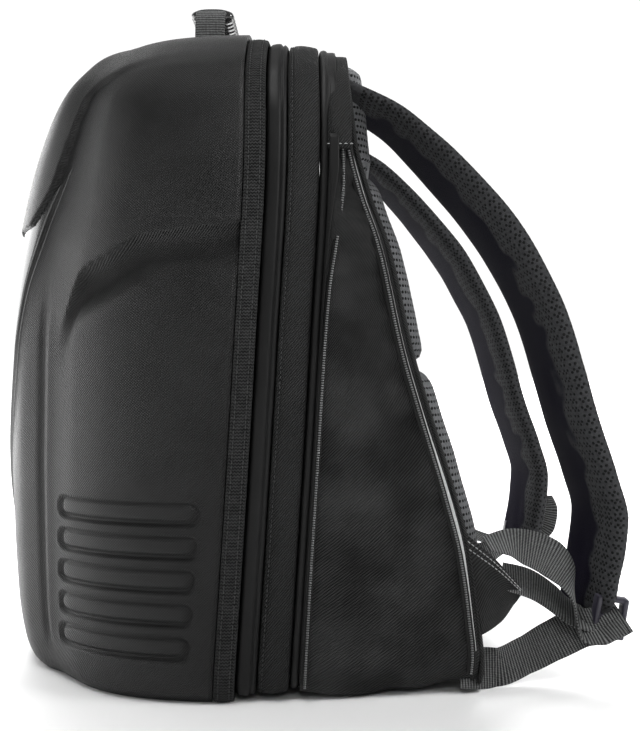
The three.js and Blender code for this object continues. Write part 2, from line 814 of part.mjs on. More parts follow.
// Materials
const finish = (color, roughness, metalness = 0) => new THREE.MeshStandardMaterial({
  color,
  roughness,
  metalness,
});
const shellFinish = finish(0x2a2c2c, 0.38);
const glossFinish = finish(0x151617, 0.15);
const knitFinish = finish(0x1c1d1e, 0.9);
const stripFinish = finish(0x232526, 0.55);
const twillFinish = finish(0x1e2020, 0.85);
const pipingFinish = finish(0x101112, 0.6);
const zipFinish = finish(0x2c2e2f, 0.4, 0.3);
const meshFinish = finish(0x2b2c2f, 0.95);
const strapFinish = finish(0x202126, 0.95);
const webFinish = finish(0x27282a, 0.8);
const lockFinish = finish(0x34343a, 0.35);

const pack = new THREE.Group();

function place(name, geometry, material) {
  const mesh = new THREE.Mesh(geometry, material.clone());
  mesh.name = name;
  pack.add(mesh);
}

place('shell', shellGeometry(), shellFinish);
place('front_panel', frontPanelGeometry(), glossFinish);
place('rim_binding', ring(bindingStart, bindingLength, 0, bindingWall), knitFinish);
place('zip_channel', ring(channelStart, channelLength, channelInset, channelWall), stripFinish);
place('frame_band', ring(bandStart, bandLength, bandInset, bandWall), twillFinish);
place('frame_piping', ring(pipingStart, pipingLength, pipingInset, pipingWall), pipingFinish);
place('gusset', gussetGeometry(), twillFinish);
place('back_panel', backPanelGeometry(), twillFinish);
for (const [name, pad] of Object.entries(pads)) place(name, padGeometry(pad), meshFinish);

for (const [hand, side] of [['left', -1], ['right', 1]]) {
  place(`side_flap_${hand}`, flapStrip(side), stripFinish);
  place(`top_tab_${hand}`, topTab(side), twillFinish);
  place(`zip_front_${hand}`, zipFront(side), zipFinish);
  place(`zip_rear_${hand}`, zipRear(side), zipFinish);
  place(`strap_${hand}`, strapGeometry(side), strapFinish);
  place(`ladder_lock_${hand}`, ladderLock(side), lockFinish);
  for (const { name, rows, seat, beside } of routes) {
    place(`${name}_${hand}`, webbing(routeTo(rows, seat, lockY + beside, side), side), webFinish);
  }
  place(`wing_tab_${hand}`, wingTab(side), twillFinish);
}

place('carry_handle', handleGeometry(), webFinish);
place('handle_grip', gripGeometry(), glossFinish);

// The origin lies under the middle of the bounding box.
const bounds = new THREE.Box3().setFromObject(pack);
pack.position.x = -(bounds.min.x + bounds.max.x) / 2;

export default pack;
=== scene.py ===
"""Looks of the hard shell backpack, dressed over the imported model. Metres, in the frame's axes."""
import math
from collections import namedtuple

import bmesh
import bpy
import numpy as np
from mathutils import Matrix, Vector, noise


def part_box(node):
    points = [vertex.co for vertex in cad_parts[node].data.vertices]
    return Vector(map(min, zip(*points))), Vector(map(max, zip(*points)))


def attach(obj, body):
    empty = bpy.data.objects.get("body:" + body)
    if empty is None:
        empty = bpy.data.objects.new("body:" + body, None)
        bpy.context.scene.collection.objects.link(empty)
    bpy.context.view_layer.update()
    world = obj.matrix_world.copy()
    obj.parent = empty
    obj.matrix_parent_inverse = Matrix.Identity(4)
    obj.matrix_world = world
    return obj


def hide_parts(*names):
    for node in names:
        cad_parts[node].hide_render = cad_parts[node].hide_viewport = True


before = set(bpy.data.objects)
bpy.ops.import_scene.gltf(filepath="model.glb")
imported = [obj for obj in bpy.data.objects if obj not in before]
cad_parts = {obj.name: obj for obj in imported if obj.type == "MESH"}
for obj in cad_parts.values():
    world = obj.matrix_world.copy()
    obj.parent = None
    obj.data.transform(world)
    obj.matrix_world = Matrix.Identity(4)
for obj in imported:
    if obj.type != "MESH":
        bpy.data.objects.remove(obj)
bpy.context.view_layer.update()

MM = 0.001
SIDES = (("left", -1), ("right", 1))

# Sizes that come from the frame: shift_x is the place there of the zero that the part's X sizes count from
clear = 0.3 * MM
nose_most = 0.995
shell_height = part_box("shell")[1].z
half_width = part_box("rim_binding")[1].y
rim_foot_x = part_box("rim_binding")[0].x - clear
shell_depth = (rim_foot_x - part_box("shell")[0].x) / nose_most
shift_x = rim_foot_x + 59 * MM

# Sizes of the hard shell
rim_lean = 22 * MM
shell_wall = 3 * MM
hood_rise = 5 * MM
groove_depth = 8.5 * MM
groove_half = 11 * MM

# Sizes of the rings behind the shell, as in the part: start behind the rim, length and inset
ring_drop = 4.5 * MM
gusset_drop = 12 * MM
binding_length = 14.5 * MM
channel_length = 14.5 * MM
band_length = 22 * MM
piping_length = 7 * MM
channel_inset = 3.5 * MM
band_inset = 4.5 * MM
piping_inset = 6 * MM
gusset_inset = 4.5 * MM
gusset_wall = 2.4 * MM

# Sizes of the back
back_top_x = 27 * MM + shift_x
back_reach = 100.5 * MM
back_thick = 4 * MM
back_width = 284 * MM
back_height = 475 * MM
pad_width = 224 * MM
pad_thick = 14 * MM

# Pitches of the weaves, teeth and perforations; the knit's ribs sway by a share of their pitch
shell_weave = 2.1 * MM
knit_pitch = 2.2 * MM
knit_sway = 0.191
twill_pitch = 2.0 * MM
gusset_twill_pitch = 1.8 * MM
piping_pitch = 0.9 * MM
mesh_pitch = 1.3 * MM
thread_pitch = 1.2 * MM
rib_pitch = 2.2 * MM
tooth_pitch = 1.7 * MM
pad_hole_pitch = 6.2 * MM

# The shell's levels from foot to crown, as shares of its height, half width and depth
Level = namedtuple("Level", "up width nose")
shell_levels = [
    Level(0.0, 0.955, 0.861),
    Level(0.016, 0.985, 0.9),
    Level(0.045, 1.0, 0.93),
    Level(0.1, 1.0, 0.958),
    Level(0.216, 1.0, 0.981),
    Level(0.357, 1.0, 0.9945),
    Level(0.496, 1.0, nose_most),
    Level(0.584, 1.0, 0.975),
    Level(0.686, 1.0, 0.923),
    Level(0.763, 1.0, 0.874),
    Level(0.843, 0.985, 0.803),
    Level(0.9, 0.925, 0.737),
    Level(0.941, 0.82, 0.664),
    Level(0.965, 0.73, 0.612),
    Level(0.982, 0.62, 0.556),
    Level(0.993, 0.5, 0.478),
    Level(1.0, 0.385, 0.34),
]

# The shell's plan from the rim to the nose
Plan = namedtuple("Plan", "deep wide")
plan_curve = [
    Plan(0.0, 1.0),
    Plan(0.07, 0.997),
    Plan(0.15, 0.99),
    Plan(0.3, 0.965),
    Plan(0.45, 0.92),
    Plan(0.58, 0.85),
    Plan(0.68, 0.765),
    Plan(0.75, 0.7),
    Plan(0.86, 0.62),
    Plan(0.93, 0.5),
    Plan(0.975, 0.33),
    Plan(0.995, 0.15),
    Plan(1.0, 0.0),
]

# How far the rim leans back with height
Lean = namedtuple("Lean", "up lean")
rim_line = [Lean(0.0, 0.0), Lean(0.5, 0.68), Lean(0.8, 1.0), Lean(1.0, 0.93)]

# Lower edge of the hood: a sharp lip over the front panel, and a soft crease along the crown
Lip = namedtuple("Lip", "deep up soft")
hood_edge = [
    Lip(0.0, 0.92, 9.0),
    Lip(0.34, 0.915, 8.0),
    Lip(0.53, 0.908, 7.0),
    Lip(0.66, 0.897, 5.5),
    Lip(0.727, 0.877, 4.0),
    Lip(0.75, 0.82, 2.4),
    Lip(0.778, 0.749, 2.0),
    Lip(0.826, 0.705, 2.0),
    Lip(0.87, 0.683, 2.0),
    Lip(1.0, 0.68, 2.0),
]

# How far the hood stands out along that edge
Rise = namedtuple("Rise", "deep rise")
hood_rises = [
    Rise(0.0, 0.0), Rise(0.34, 0.14), Rise(0.53, 0.3), Rise(0.66, 0.55), Rise(0.8, 1.0), Rise(1.0, 1.0),
]

# The groove across each side, from the rim forward
Edge = namedtuple("Edge", "deep up")
groove_line = [
    Edge(0.0, 0.647),
    Edge(0.36, 0.632),
    Edge(0.48, 0.606),
    Edge(0.58, 0.585),
    Edge(0.66, 0.5),
]

# How far the back stands out with height, which gives the pack its wedge shape
Reach = namedtuple("Reach", "up reach")
back_line = [
    Reach(0.0, 0.985),
    Reach(0.047, 1.0),
    Reach(0.094, 0.98),
    Reach(0.202, 0.915),
    Reach(0.294, 0.806),
    Reach(0.411, 0.637),
    Reach(0.506, 0.507),
    Reach(0.662, 0.34),
    Reach(0.745, 0.2),
    Reach(0.817, 0.11),
    Reach(0.915, 0.06),
    Reach(1.0, 0.0),
]


def run_lengths(points):
    """Length along a line of points, up to each of them."""
    return np.concatenate([[0], np.cumsum(np.linalg.norm(np.diff(points, axis=0), axis=1))])


def round_angles(count):
    """Even angles over one whole turn."""
    return np.linspace(0, 2 * math.pi, count, endpoint=False)


def boxed(value, power):
    """A sine or cosine raised to a power below 1, which makes a round section boxier."""
    return np.sign(value) * np.abs(value) ** power


def smooth_curve(xs, ys):
    """Monotone cubic through the points, as a function of x."""
    xs = np.asarray(xs, float)
    ys = np.asarray(ys, float)
    step = np.diff(xs)
    rise = np.diff(ys) / step
    slope = np.zeros(len(xs))
    slope[0], slope[-1] = rise[0], rise[-1]
    same = rise[1:] * rise[:-1] > 0
    both = rise[1:] + rise[:-1]
    slope[1:-1] = np.where(same, 2 * rise[1:] * rise[:-1] / np.where(both == 0, 1, both), 0)

    def at(x):
        x = np.clip(np.asarray(x, float), xs[0], xs[-1])
        i = np.clip(np.searchsorted(xs, x, side="right") - 1, 0, len(step) - 1)
        h = step[i]
        t = (x - xs[i]) / h
        a = (1 + 2 * t) * (1 - t) ** 2 * ys[i] + t * (1 - t) ** 2 * h * slope[i]
        b = t * t * (3 - 2 * t) * ys[i + 1] + t * t * (t - 1) * h * slope[i + 1]
        return a + b

    return at


def table_curve(table, source, target):
    """Smooth curve from one column of a table to another."""
    return smooth_curve([getattr(row, source) for row in table], [getattr(row, target) for row in table])


def smooth_path(points):
    """Smooth curve through points of any dimension, as a function of a share from 0 to 1."""
    points = np.asarray(points, float)
    chord = run_lengths(points)
    share = chord / chord[-1]
    parts = [smooth_curve(share, points[:, k]) for k in range(points.shape[1])]
    return lambda t: np.stack([part(t) for part in parts], axis=-1)


def smooth_step(x, low, high):
    """0 below low and 1 above high, with a soft change between them."""
    t = np.clip((x - low) / (high - low), 0, 1)
    return t * t * (3 - 2 * t)


def unit(vectors):
    length = np.linalg.norm(vectors, axis=-1, keepdims=True)
    return vectors / np.where(length < 1e-12, 1, length)


def spaced(shares, points, spacing):
    """Shares along a line of points, a given local spacing apart."""
    step = np.linalg.norm(np.diff(points, axis=0), axis=1)
    here = spacing(shares)
    count = np.concatenate([[0], np.cumsum(step / (0.5 * (here[1:] + here[:-1])))])
    total = max(int(round(count[-1])), 2)
    return np.interp(np.linspace(0, count[-1], total + 1), count, shares)


rim_lean_at = table_curve(rim_line, "up", "lean")
back_reach_at = table_curve(back_line, "up", "reach")
hood_at = table_curve(hood_edge, "deep", "up")
groove_at = table_curve(groove_line, "deep", "up")
hood_rise_at = table_curve(hood_rises, "deep", "rise")


def rim_x(z):
    """X of the shell's rim at a height."""
    return rim_foot_x + rim_lean * rim_lean_at(z / shell_height)


def back_x(z):
    """X of the back board's front face at a height."""
    return back_top_x + back_reach * back_reach_at(z / back_height)


def board_x(z):
    """X of the board's face against the wearer."""
    return back_x(z) + back_thick


level_path = smooth_path([
    (row.up * shell_height, row.width * half_width, row.nose * shell_depth) for row in shell_levels
])
plan_path = smooth_path(
    [(row.deep * shell_depth, row.wide * half_width) for row in plan_curve]
    + [(row.deep * shell_depth, -row.wide * half_width) for row in reversed(plan_curve[:-1])]
)


plan_steps = plan_path(np.linspace(0, 0.5, 400))
plan_lengths = run_lengths(plan_steps)


def plan_arc(deep):
    """Length round the shell's plan from the rim to a share of its depth."""
    return np.interp(deep, plan_steps[:, 0] / shell_depth, plan_lengths)


def add_object(name, mesh):
    obj = bpy.data.objects.new(name, mesh)
    bpy.context.scene.collection.objects.link(obj)
    return obj


def tidy(obj, merge=1e-6, smooth=True):
    """Merges doubles and turns the faces of a closed mesh outward."""
    work = bmesh.new()
    work.from_mesh(obj.data)
    bmesh.ops.remove_doubles(work, verts=work.verts, dist=merge)
    bmesh.ops.dissolve_degenerate(work, edges=work.edges, dist=merge)
    bmesh.ops.recalc_face_normals(work, faces=work.faces)
    work.to_mesh(obj.data)
    work.free()
    obj.data.polygons.foreach_set("use_smooth", [smooth] * len(obj.data.polygons))
    obj.data.update()
    return obj


def grid_mesh(name, grid, wrap_rows=False, wrap_columns=False, caps=False):
    """Mesh over a grid of points, with a UV map in metres along the rows and columns."""
    rows, columns = grid.shape[:2]
    row_ends = np.concatenate([grid, grid[:1]]) if wrap_rows else grid
    column_ends = np.concatenate([grid, grid[:, :1]], axis=1) if wrap_columns else grid
    down = np.linalg.norm(np.diff(row_ends, axis=0), axis=-1).mean(axis=1)
    across = np.linalg.norm(np.diff(column_ends, axis=1), axis=-1).mean(axis=0)
    v = np.concatenate([[0], np.cumsum(down)])
    u = np.concatenate([[0], np.cumsum(across)])
    i = np.arange(rows if wrap_rows else rows - 1)
    j = np.arange(columns if wrap_columns else columns - 1)
    i, j = [a.ravel() for a in np.meshgrid(i, j, indexing="ij")]
    corners = [(i, j), (i, j + 1), (i + 1, j + 1), (i + 1, j)]
    faces = np.stack([(a % rows) * columns + (b % columns) for a, b in corners], axis=1)
    uvs = np.stack([np.stack([u[b], v[a]], axis=-1) for a, b in corners], axis=1)
    faces = faces.tolist()
    flat = uvs.reshape(-1, 2)
    if caps:
        for row in (0, rows - 1):
            faces.append([row * columns + k for k in range(columns)])
            flat = np.concatenate([flat, np.stack([u[:columns], np.full(columns, v[row])], axis=-1)])
    mesh = bpy.data.meshes.new(name)
    mesh.from_pydata(grid.reshape(-1, 3).tolist(), [], faces)
    layer = mesh.uv_layers.new(name="cloth")
    layer.data.foreach_set("uv", flat.ravel())
    return add_object(name, mesh)


def finished(obj, nodes=(), material=None):
    """Puts a piece on the one body, its finish and the nodes it stands for."""
    if material is not None:
        obj.data.materials.clear()
        obj.data.materials.append(material)
    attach(obj, "root")
    if nodes:
        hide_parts(*nodes)
    return obj


class Signal:
    """A shader socket that takes Python's operators."""

    def __init__(self, finish, socket):
        self.finish = finish
        self.socket = socket

    def math(self, operation, *others, swap=False):
        values = (*others, self) if swap else (self, *others)
        return self.finish.node("ShaderNodeMath", {"operation": operation}, dict(enumerate(values)))

    def __add__(self, other):
        return self.math("ADD", other)

    def __sub__(self, other):
        return self.math("SUBTRACT", other)

    def __rsub__(self, other):
        return self.math("SUBTRACT", other, swap=True)

    def __mul__(self, other):
        return self.math("MULTIPLY", other)

    __radd__ = __add__
    __rmul__ = __mul__

    def wave(self, pitch):
        """Sine wave along a signal in metres, with one turn to each pitch."""
        return (self * (2 * math.pi / pitch)).math("SINE")


class Finish:
    """A procedural material with one Principled shader."""

    def __init__(self, name, colour, roughness, **constants):
        self.material = bpy.data.materials.new(name)
        self.material.use_nodes = True
        self.tree = self.material.node_tree
        self.tree.nodes.clear()
        self.shader = self.tree.nodes.new("ShaderNodeBsdfPrincipled")
        output = self.tree.nodes.new("ShaderNodeOutputMaterial")
        self.tree.links.new(self.shader.outputs[0], output.inputs["Surface"])
        self.set("Base Color", (*colour, 1))
        self.set("Roughness", roughness)
        for socket, value in constants.items():
            self.set(socket.replace("_", " "), value)

    def set(self, socket, value):
        self.put(self.shader.inputs[socket], value)

    def put(self, socket, value):
        if isinstance(value, Signal):
            self.tree.links.new(value.socket, socket)
        else:
            socket.default_value = value

    def node(self, kind, settings=None, sockets=None, output=0):
        """Adds one node: its settings first, then the values or links of its sockets."""
        made = self.tree.nodes.new(kind)
        for key, value in (settings or {}).items():
            setattr(made, key, value)
        for key, value in (sockets or {}).items():
            self.put(made.inputs[key], value)
        return Signal(self, made.outputs[output])

    def cloth(self):
        """The two ways of the cloth, in metres."""
        where = self.node("ShaderNodeUVMap", {"uv_map": "cloth"})
        return [self.node("ShaderNodeSeparateXYZ", None, {0: where}, k) for k in range(2)]

    def speckle(self, scale, detail=2.0):
        """Soft noise round 0.5, fixed to the piece."""
        where = self.node("ShaderNodeTexCoord", output="Object")
        return self.node("ShaderNodeTexNoise", None, {"Vector": where, "Scale": scale, "Detail": detail})

    def blend(self, amount, first, second):
        """Colour between two by an amount."""
        ends = [(*end, 1) if isinstance(end, tuple) else end for end in (first, second)]
        return self.node("ShaderNodeMix", {"data_type": "RGBA"}, {0: amount, 6: ends[0], 7: ends[1]}, 2)

    def relief(self, height, depth):
        """Bump of a height signal from 0 to 1, over a depth in metres."""
        self.set("Normal", self.node("ShaderNodeBump", None, {"Distance": depth, "Height": height}))


def grey(value, blue=1.0):
    """Near black to grey with a slightly cool cast."""
    return (value, value * 1.02, value * 1.02 * blue)


def shell_finish():
    made = Finish("shell moulding", grey(0.005), 0.4, Specular_IOR_Level=0.24)
    u, v = made.cloth()
    weave = (u * 1.2 + v).wave(shell_weave) + (u - v * 1.2).wave(shell_weave) * 0.35
    cloud = made.speckle(30, 3)
    made.set("Roughness", 0.3 + cloud * 0.16)
    made.set("Base Color", made.blend(weave * 0.45 + cloud, grey(0.001), grey(0.016)))
    made.relief(weave * 0.5 + made.speckle(900) * 0.6, 0.3 * MM)
    return made.material


def gloss_finish(name="front panel gloss", rough=0.2, shine=0.9, tone=0.012):
    made = Finish(name, grey(tone), rough, Specular_IOR_Level=shine)
    cloud = made.speckle(40, 2)
    made.set("Roughness", rough - 0.04 + cloud * 0.1)
    made.relief(made.speckle(300), 0.02 * MM)
    return made.material


def knit_finish():
    """Tape whose ribs sway from side to side."""
    made = Finish("knit tape", grey(0.012), 0.85, Specular_IOR_Level=0.15)
    u, v = made.cloth()
    sway = u.wave(knit_pitch) * (knit_pitch * knit_sway)
    rib = (v + sway).wave(knit_pitch)
    cloud = made.speckle(200)
    made.set("Base Color", made.blend(rib * 0.5 + cloud, grey(0.002), grey(0.036)))
    made.relief(rib * 0.5 + cloud, 0.3 * MM)
    return made.material


def strip_finish():
    made = Finish("satin strip", grey(0.004), 0.55, Specular_IOR_Level=0.24)
    cloud = made.speckle(60)
    made.set("Roughness", 0.5 + cloud * 0.14)
    made.relief(made.speckle(1400) * 0.5 + cloud, 0.04 * MM)
    return made.material


def twill_finish(name="twill", low=0.001, high=0.03, pitch=twill_pitch, sheen_patches=0.5):
    """Diagonal ribs with a finer cross thread, in colour and relief, and patches of painted sheen: soft
    clouds that lighten and darken the colour as highlights would.
    """
    made = Finish(name, grey(high), 0.6, Specular_IOR_Level=0.16)
    u, v = made.cloth()
    rib = (u + v * 0.8).wave(pitch)
    cross = (u * 0.7 - v).wave(pitch / 1.6)
    cloud = made.speckle(24, 4)
    weave = rib * 0.5 + cross * 0.2 + 0.5
    # Painted sheen: the clouds lighten and darken the colour in broad patches, standing in for soft
    # highlights on the cloth.
    made.set("Base Color", made.blend(weave * 0.8 + (cloud - 0.5) * sheen_patches + 0.1, grey(low), grey(high)))
    made.relief(weave + made.speckle(500) * 0.6, 0.5 * MM)
    return made.material


def piping_finish():
    made = Finish("black piping", grey(0.003), 0.5, Specular_IOR_Level=0.3)
    u, v = made.cloth()
    made.relief((u + v).wave(piping_pitch) * 0.5 + made.speckle(300), 0.06 * MM)
    return made.material


def mesh_finish(name="air mesh", low=0.08, high=0.3, blue=1.03, shade_inner_face=False):
    """Knitted air mesh. With the inner shade switched on, it turns near black where the piece's attribute is
    1: painted shade on the strap's inner face, which faces away from the lights.
    """
    made = Finish(name, grey(high, blue), 0.88, Specular_IOR_Level=0.12)
    u, v = made.cloth()
    knit = (u + v).wave(mesh_pitch) * (u - v).wave(mesh_pitch)
    cloud = made.speckle(500, 2)
    colour = made.blend(knit * 0.4 + cloud * 0.8, grey(low, blue), grey(high, blue))
    if shade_inner_face:
        # Painted shade: near black navy where the attribute marks the strap's inner face, which faces away
        # from the lights.
        lining = made.node("ShaderNodeAttribute", {"attribute_name": "lining"}, None, 2)
        colour = made.blend(lining, colour, (0.003, 0.002, 0.008))
    made.set("Base Color", colour)
    made.relief(knit * 0.5 + cloud, 0.3 * MM)
    return made.material


def webbing_finish():
    """Webbing with ribs across it and threads along it."""
    made = Finish("ribbed webbing", grey(0.02), 0.66, Specular_IOR_Level=0.2)
    u, v = made.cloth()
    thread = u.wave(thread_pitch)
    rib = v.wave(rib_pitch)
    cloud = made.speckle(600)
    made.set("Base Color", made.blend(rib * 0.4 + thread * 0.2 + cloud * 0.6, grey(0.01), grey(0.2)))
    made.relief(thread * 0.3 + rib * 0.5 + cloud, 0.25 * MM)
    return made.material


def moulded_finish():
    made = Finish("satin moulding", (0.022, 0.02, 0.032), 0.36, Specular_IOR_Level=0.45)
    made.set("Roughness", 0.32 + made.speckle(80) * 0.16)
    made.relief(made.speckle(1500), 0.02 * MM)
    return made.material


def thread_finish(name, colour, roughness=0.6):
    """Plain finish with a fine change of shade, for threads, the perforations' painted shade and reflective
    tape.
    """
    made = Finish(name, colour, roughness, Specular_IOR_Level=0.4)
    cloud = made.speckle(900)
    made.set("Base Color", made.blend(cloud, tuple(c * 0.6 for c in colour), tuple(c * 1.4 for c in colour)))
    return made.material


def tooth_finish():
    made = Finish("zip teeth", grey(0.16), 0.3, Specular_IOR_Level=0.6)
    made.set("Metallic", 0.55)
    made.set("Roughness", 0.24 + made.speckle(400) * 0.16)
    return made.material


shell_look = shell_finish()
gloss_look = gloss_finish()
knit_look = knit_finish()
strip_look = strip_finish()
twill_look = twill_finish()
# The gusset twill has the strongest painted sheen patches.
gusset_look = twill_finish("gusset twill", 0.001, 0.034, gusset_twill_pitch, 2.4)
piping_look = piping_finish()
mesh_look = mesh_finish()
grip_look = gloss_finish("grip gloss", 0.2, 0.9, 0.03)
# The straps' mesh, with painted shade on the inner face.
strap_look = mesh_finish("strap mesh", 0.015, 0.09, 1.05, True)
web_look = webbing_finish()
moulded_look = moulded_finish()
black_thread = thread_finish("black thread", grey(0.03))
pale_thread = thread_finish("pale thread", grey(0.3))
tooth_look = tooth_finish()
# Near black perforations: painted shade for the depth of each hole.
hole_look = thread_finish("hole shade", grey(0.0015), 0.95)
tape_look = thread_finish("reflective tape", grey(0.42), 0.42)


def repeat_tree():
    """Node tree that sets an item along a line of points, turned by the line and its outward side."""
    tree = bpy.data.node_groups.new("set along a line", "GeometryNodeTree")
    face = tree.interface
    face.new_socket("Line", in_out="INPUT", socket_type="NodeSocketGeometry")
    face.new_socket("Item", in_out="INPUT", socket_type="NodeSocketObject")
    face.new_socket("Pitch", in_out="INPUT", socket_type="NodeSocketFloat")
    face.new_socket("Resample", in_out="INPUT", socket_type="NodeSocketBool")
    face.new_socket("Finish", in_out="INPUT", socket_type="NodeSocketMaterial")
    face.new_socket("Row", in_out="OUTPUT", socket_type="NodeSocketGeometry")

    def add(kind, settings=None, **links):
        made = tree.nodes.new(kind)
        for key, value in (settings or {}).items():
            setattr(made, key, value)
        for key, value in links.items():
            socket = made.inputs[key.replace("_", " ")]
            if isinstance(value, bpy.types.NodeSocket):
                tree.links.new(value, socket)
            else:
                socket.default_value = value
        return made

    given = add("NodeGroupInput")
    curve = add("GeometryNodeMeshToCurve", Mesh=given.outputs["Line"])
    even = add("GeometryNodeResampleCurve", Curve=curve.outputs[0])
    even.mode = "LENGTH"
    tree.links.new(given.outputs["Pitch"], even.inputs["Length"])
    as_points = add("GeometryNodeCurveToPoints", {"mode": "EVALUATED"}, Curve=even.outputs[0])
    chosen = add("GeometryNodeSwitch", {"input_type": "GEOMETRY"}, Switch=given.outputs["Resample"])
    tree.links.new(given.outputs["Line"], chosen.inputs["False"])
    tree.links.new(as_points.outputs["Points"], chosen.inputs["True"])
    outward = add("GeometryNodeInputNamedAttribute", {"data_type": "FLOAT_VECTOR"}, Name="outward")
    along = add("GeometryNodeInputNamedAttribute", {"data_type": "FLOAT_VECTOR"}, Name="along")
    first = add("FunctionNodeAlignRotationToVector", {"axis": "Z"}, Vector=outward.outputs[0])
    turned = add(
        "FunctionNodeAlignRotationToVector",
        {"axis": "X", "pivot_axis": "Z"},
        Rotation=first.outputs[0],
        Vector=along.outputs[0],
    )
    item = add("GeometryNodeObjectInfo", Object=given.outputs["Item"])
    placed = add(
        "GeometryNodeInstanceOnPoints",
        Points=chosen.outputs[0],
        Instance=item.outputs["Geometry"],
        Rotation=turned.outputs[0],
    )
    solid = add("GeometryNodeRealizeInstances", Geometry=placed.outputs[0])
    painted = add("GeometryNodeSetMaterial", Geometry=solid.outputs[0])
    tree.links.new(given.outputs["Finish"], painted.inputs["Material"])
    result = add("NodeGroupOutput")
    tree.links.new(painted.outputs[0], result.inputs["Row"])
    return tree


repeat_nodes = repeat_tree()


def set_along(name, points, outward, item, material, pitch=None, closed=False, along=None):
    """Copies of an item set along a line, or one on each point where no pitch is given."""
    points = np.asarray(points, float)
    outward = unit(np.asarray(outward, float))
    if along is None:
        along = np.gradient(points, axis=0)
    along = unit(np.asarray(along, float))
    count = len(points)
    edges = []
    if pitch:
        edges = [(k, k + 1) for k in range(count - 1)] + ([(count - 1, 0)] if closed else [])
    mesh = bpy.data.meshes.new(name)
    mesh.from_pydata(points.tolist(), edges, [])
    for key, values in (("outward", outward), ("along", along)):
        layer = mesh.attributes.new(key, "FLOAT_VECTOR", "POINT")
        layer.data.foreach_set("vector", values.ravel())
    source = add_object(name + "_line", mesh)
    modifier = source.modifiers.new("set along", "NODES")
    modifier.node_group = repeat_nodes
    given = {"Item": item, "Pitch": pitch or 1.0, "Resample": bool(pitch), "Finish": material}
    for socket in repeat_nodes.interface.items_tree:
        if socket.in_out == "INPUT" and socket.name in given:
            modifier[socket.identifier] = given[socket.name]
    graph = bpy.context.evaluated_depsgraph_get()
    made = bpy.data.meshes.new_from_object(source.evaluated_get(graph), depsgraph=graph)
    made.name = name
    bpy.data.objects.remove(source)
    for layer in [a.name for a in made.attributes if a.name in ("outward", "along")]:
        made.attributes.remove(made.attributes[layer])
    obj = add_object(name, made)
    obj.data.polygons.foreach_set("use_smooth", [True] * len(obj.data.polygons))
    return obj


def stitch_item(length, radius):
    """A stitch: a short round thread that dips at both ends. X runs along the seam."""
    ends = ((-0.5, 0.25, -0.6), (-0.3, 0.9, 0.3), (0.0, 1.0, 0.55), (0.3, 0.9, 0.3), (0.5, 0.25, -0.6))
    round_steps = round_angles(5)
    grid = np.array([
        [(length * x, radius * r * math.cos(a), radius * (r * math.sin(a) + lift)) for a in round_steps]
        for x, r, lift in ends
    ])
    return tidy(grid_mesh("stitch", grid, wrap_columns=True, caps=True))


def tooth_item(width, length, height):
    """A zip tooth: a small rounded block across the zip. X runs along the zip."""
    half = np.array([-0.5, -0.3, 0.3, 0.5])
    slopes = np.array([0.6, 1.0, 1.0, 0.6])
    grid = []
    for across in (-0.5, -0.42, 0.0, 0.42, 0.5):
        lift = 1.0 if abs(across) < 0.5 else 0.45
        narrow = 1.0 if abs(across) < 0.45 else 0.6
        top = [(length * x * narrow, width * across, height * lift * slope) for x, slope in zip(half, slopes)]
        foot = [(length * x * narrow, width * across, 0.0) for x in half[::-1][[0, 3]]]
        grid.append(top + foot)
    return tidy(grid_mesh("tooth", np.array(grid), wrap_columns=True, caps=True))


def hole_item(radius, depth):
    """A perforation: a dished disc with a soft lip, which its finish makes dark as painted shade in the hole.
    """
    steps = round_angles(6)
    rings = ((1.15, -0.5), (0.97, 0.09))
    grid = np.array([
        [(radius * r * math.cos(a), radius * r * math.sin(a), depth * z) for a in steps] for r, z in rings
    ])
    return tidy(grid_mesh("hole", grid, wrap_columns=True, caps=True))


def hood_relief(deep, up):
    """How far the hood stands out, from the distance to its lower edge."""
    line = smooth_path([(row.deep, row.up, row.soft / 100) for row in hood_edge])(np.linspace(0, 1, 200))
    across = plan_arc(deep)
    away = np.full(deep.shape, 1.0)
    soft = np.ones(deep.shape)
    for place, height, here_soft in line:
        distance = np.hypot(across - plan_arc(place), (up - height) * shell_height)
        nearer = distance < away
        away = np.where(nearer, distance, away)
        soft = np.where(nearer, here_soft * 100, soft)
    signed = np.where(up > np.interp(deep, line[:, 0], line[:, 1]), away, -away) / MM
    lift = smooth_step(signed, -0.2 * soft, soft)
    undercut = 0.25 * smooth_step(deep, 0.74, 0.8) * np.exp(-((signed + 1.6 * soft) / (1.2 * soft)) ** 2)
    return hood_rise * hood_rise_at(deep) * (lift - undercut)


def shell_surface(rows, columns, detail=True, inner=0.0, hooded=True):
    """Points of the shell's skin. Rows run up the shell and columns round it from the near rim."""
    up_z, half, nose = [level_path(rows)[:, k][:, None] for k in range(3)]
    plan = plan_path(columns)
    deep, wide = plan[None, :, 0] / shell_depth, plan[None, :, 1] / half_width
    up = up_z / shell_height
    rim = rim_x(up_z)
    x = rim - (rim - (rim_foot_x - nose)) * deep
    y = -half * wide
    z = up_z + 0 * deep
    around = np.stack([np.gradient(x, axis=1), np.gradient(y, axis=1)], axis=-1)
    around = unit(around)
    normal = np.stack([-around[..., 1], around[..., 0], 0 * x], axis=-1)
    normal[..., 0] = np.where(deep < 1e-9, 0, normal[..., 0])
    normal = unit(normal)
    points = np.stack([x, y, z], axis=-1)
    hood = hood_relief(deep + 0 * up, up + 0 * deep) if hooded else 0
    off = (up - groove_at(deep)) * shell_height + groove_half * 0.35
    upper_side = 1 - np.clip(off / (1.5 * groove_half), 0, 1) ** 3
    lower_side = np.exp(-(off / (1.3 * groove_half)) ** 2)
    groove = groove_depth * (1 - smooth_step(deep, 0.55, 0.68)) * np.where(off > 0, upper_side, lower_side)
    points += normal * (hood - groove - inner)[..., None]
    if detail:
        points += normal * shell_detail(points, deep + 0 * up, up + 0 * deep)[..., None]
    return points


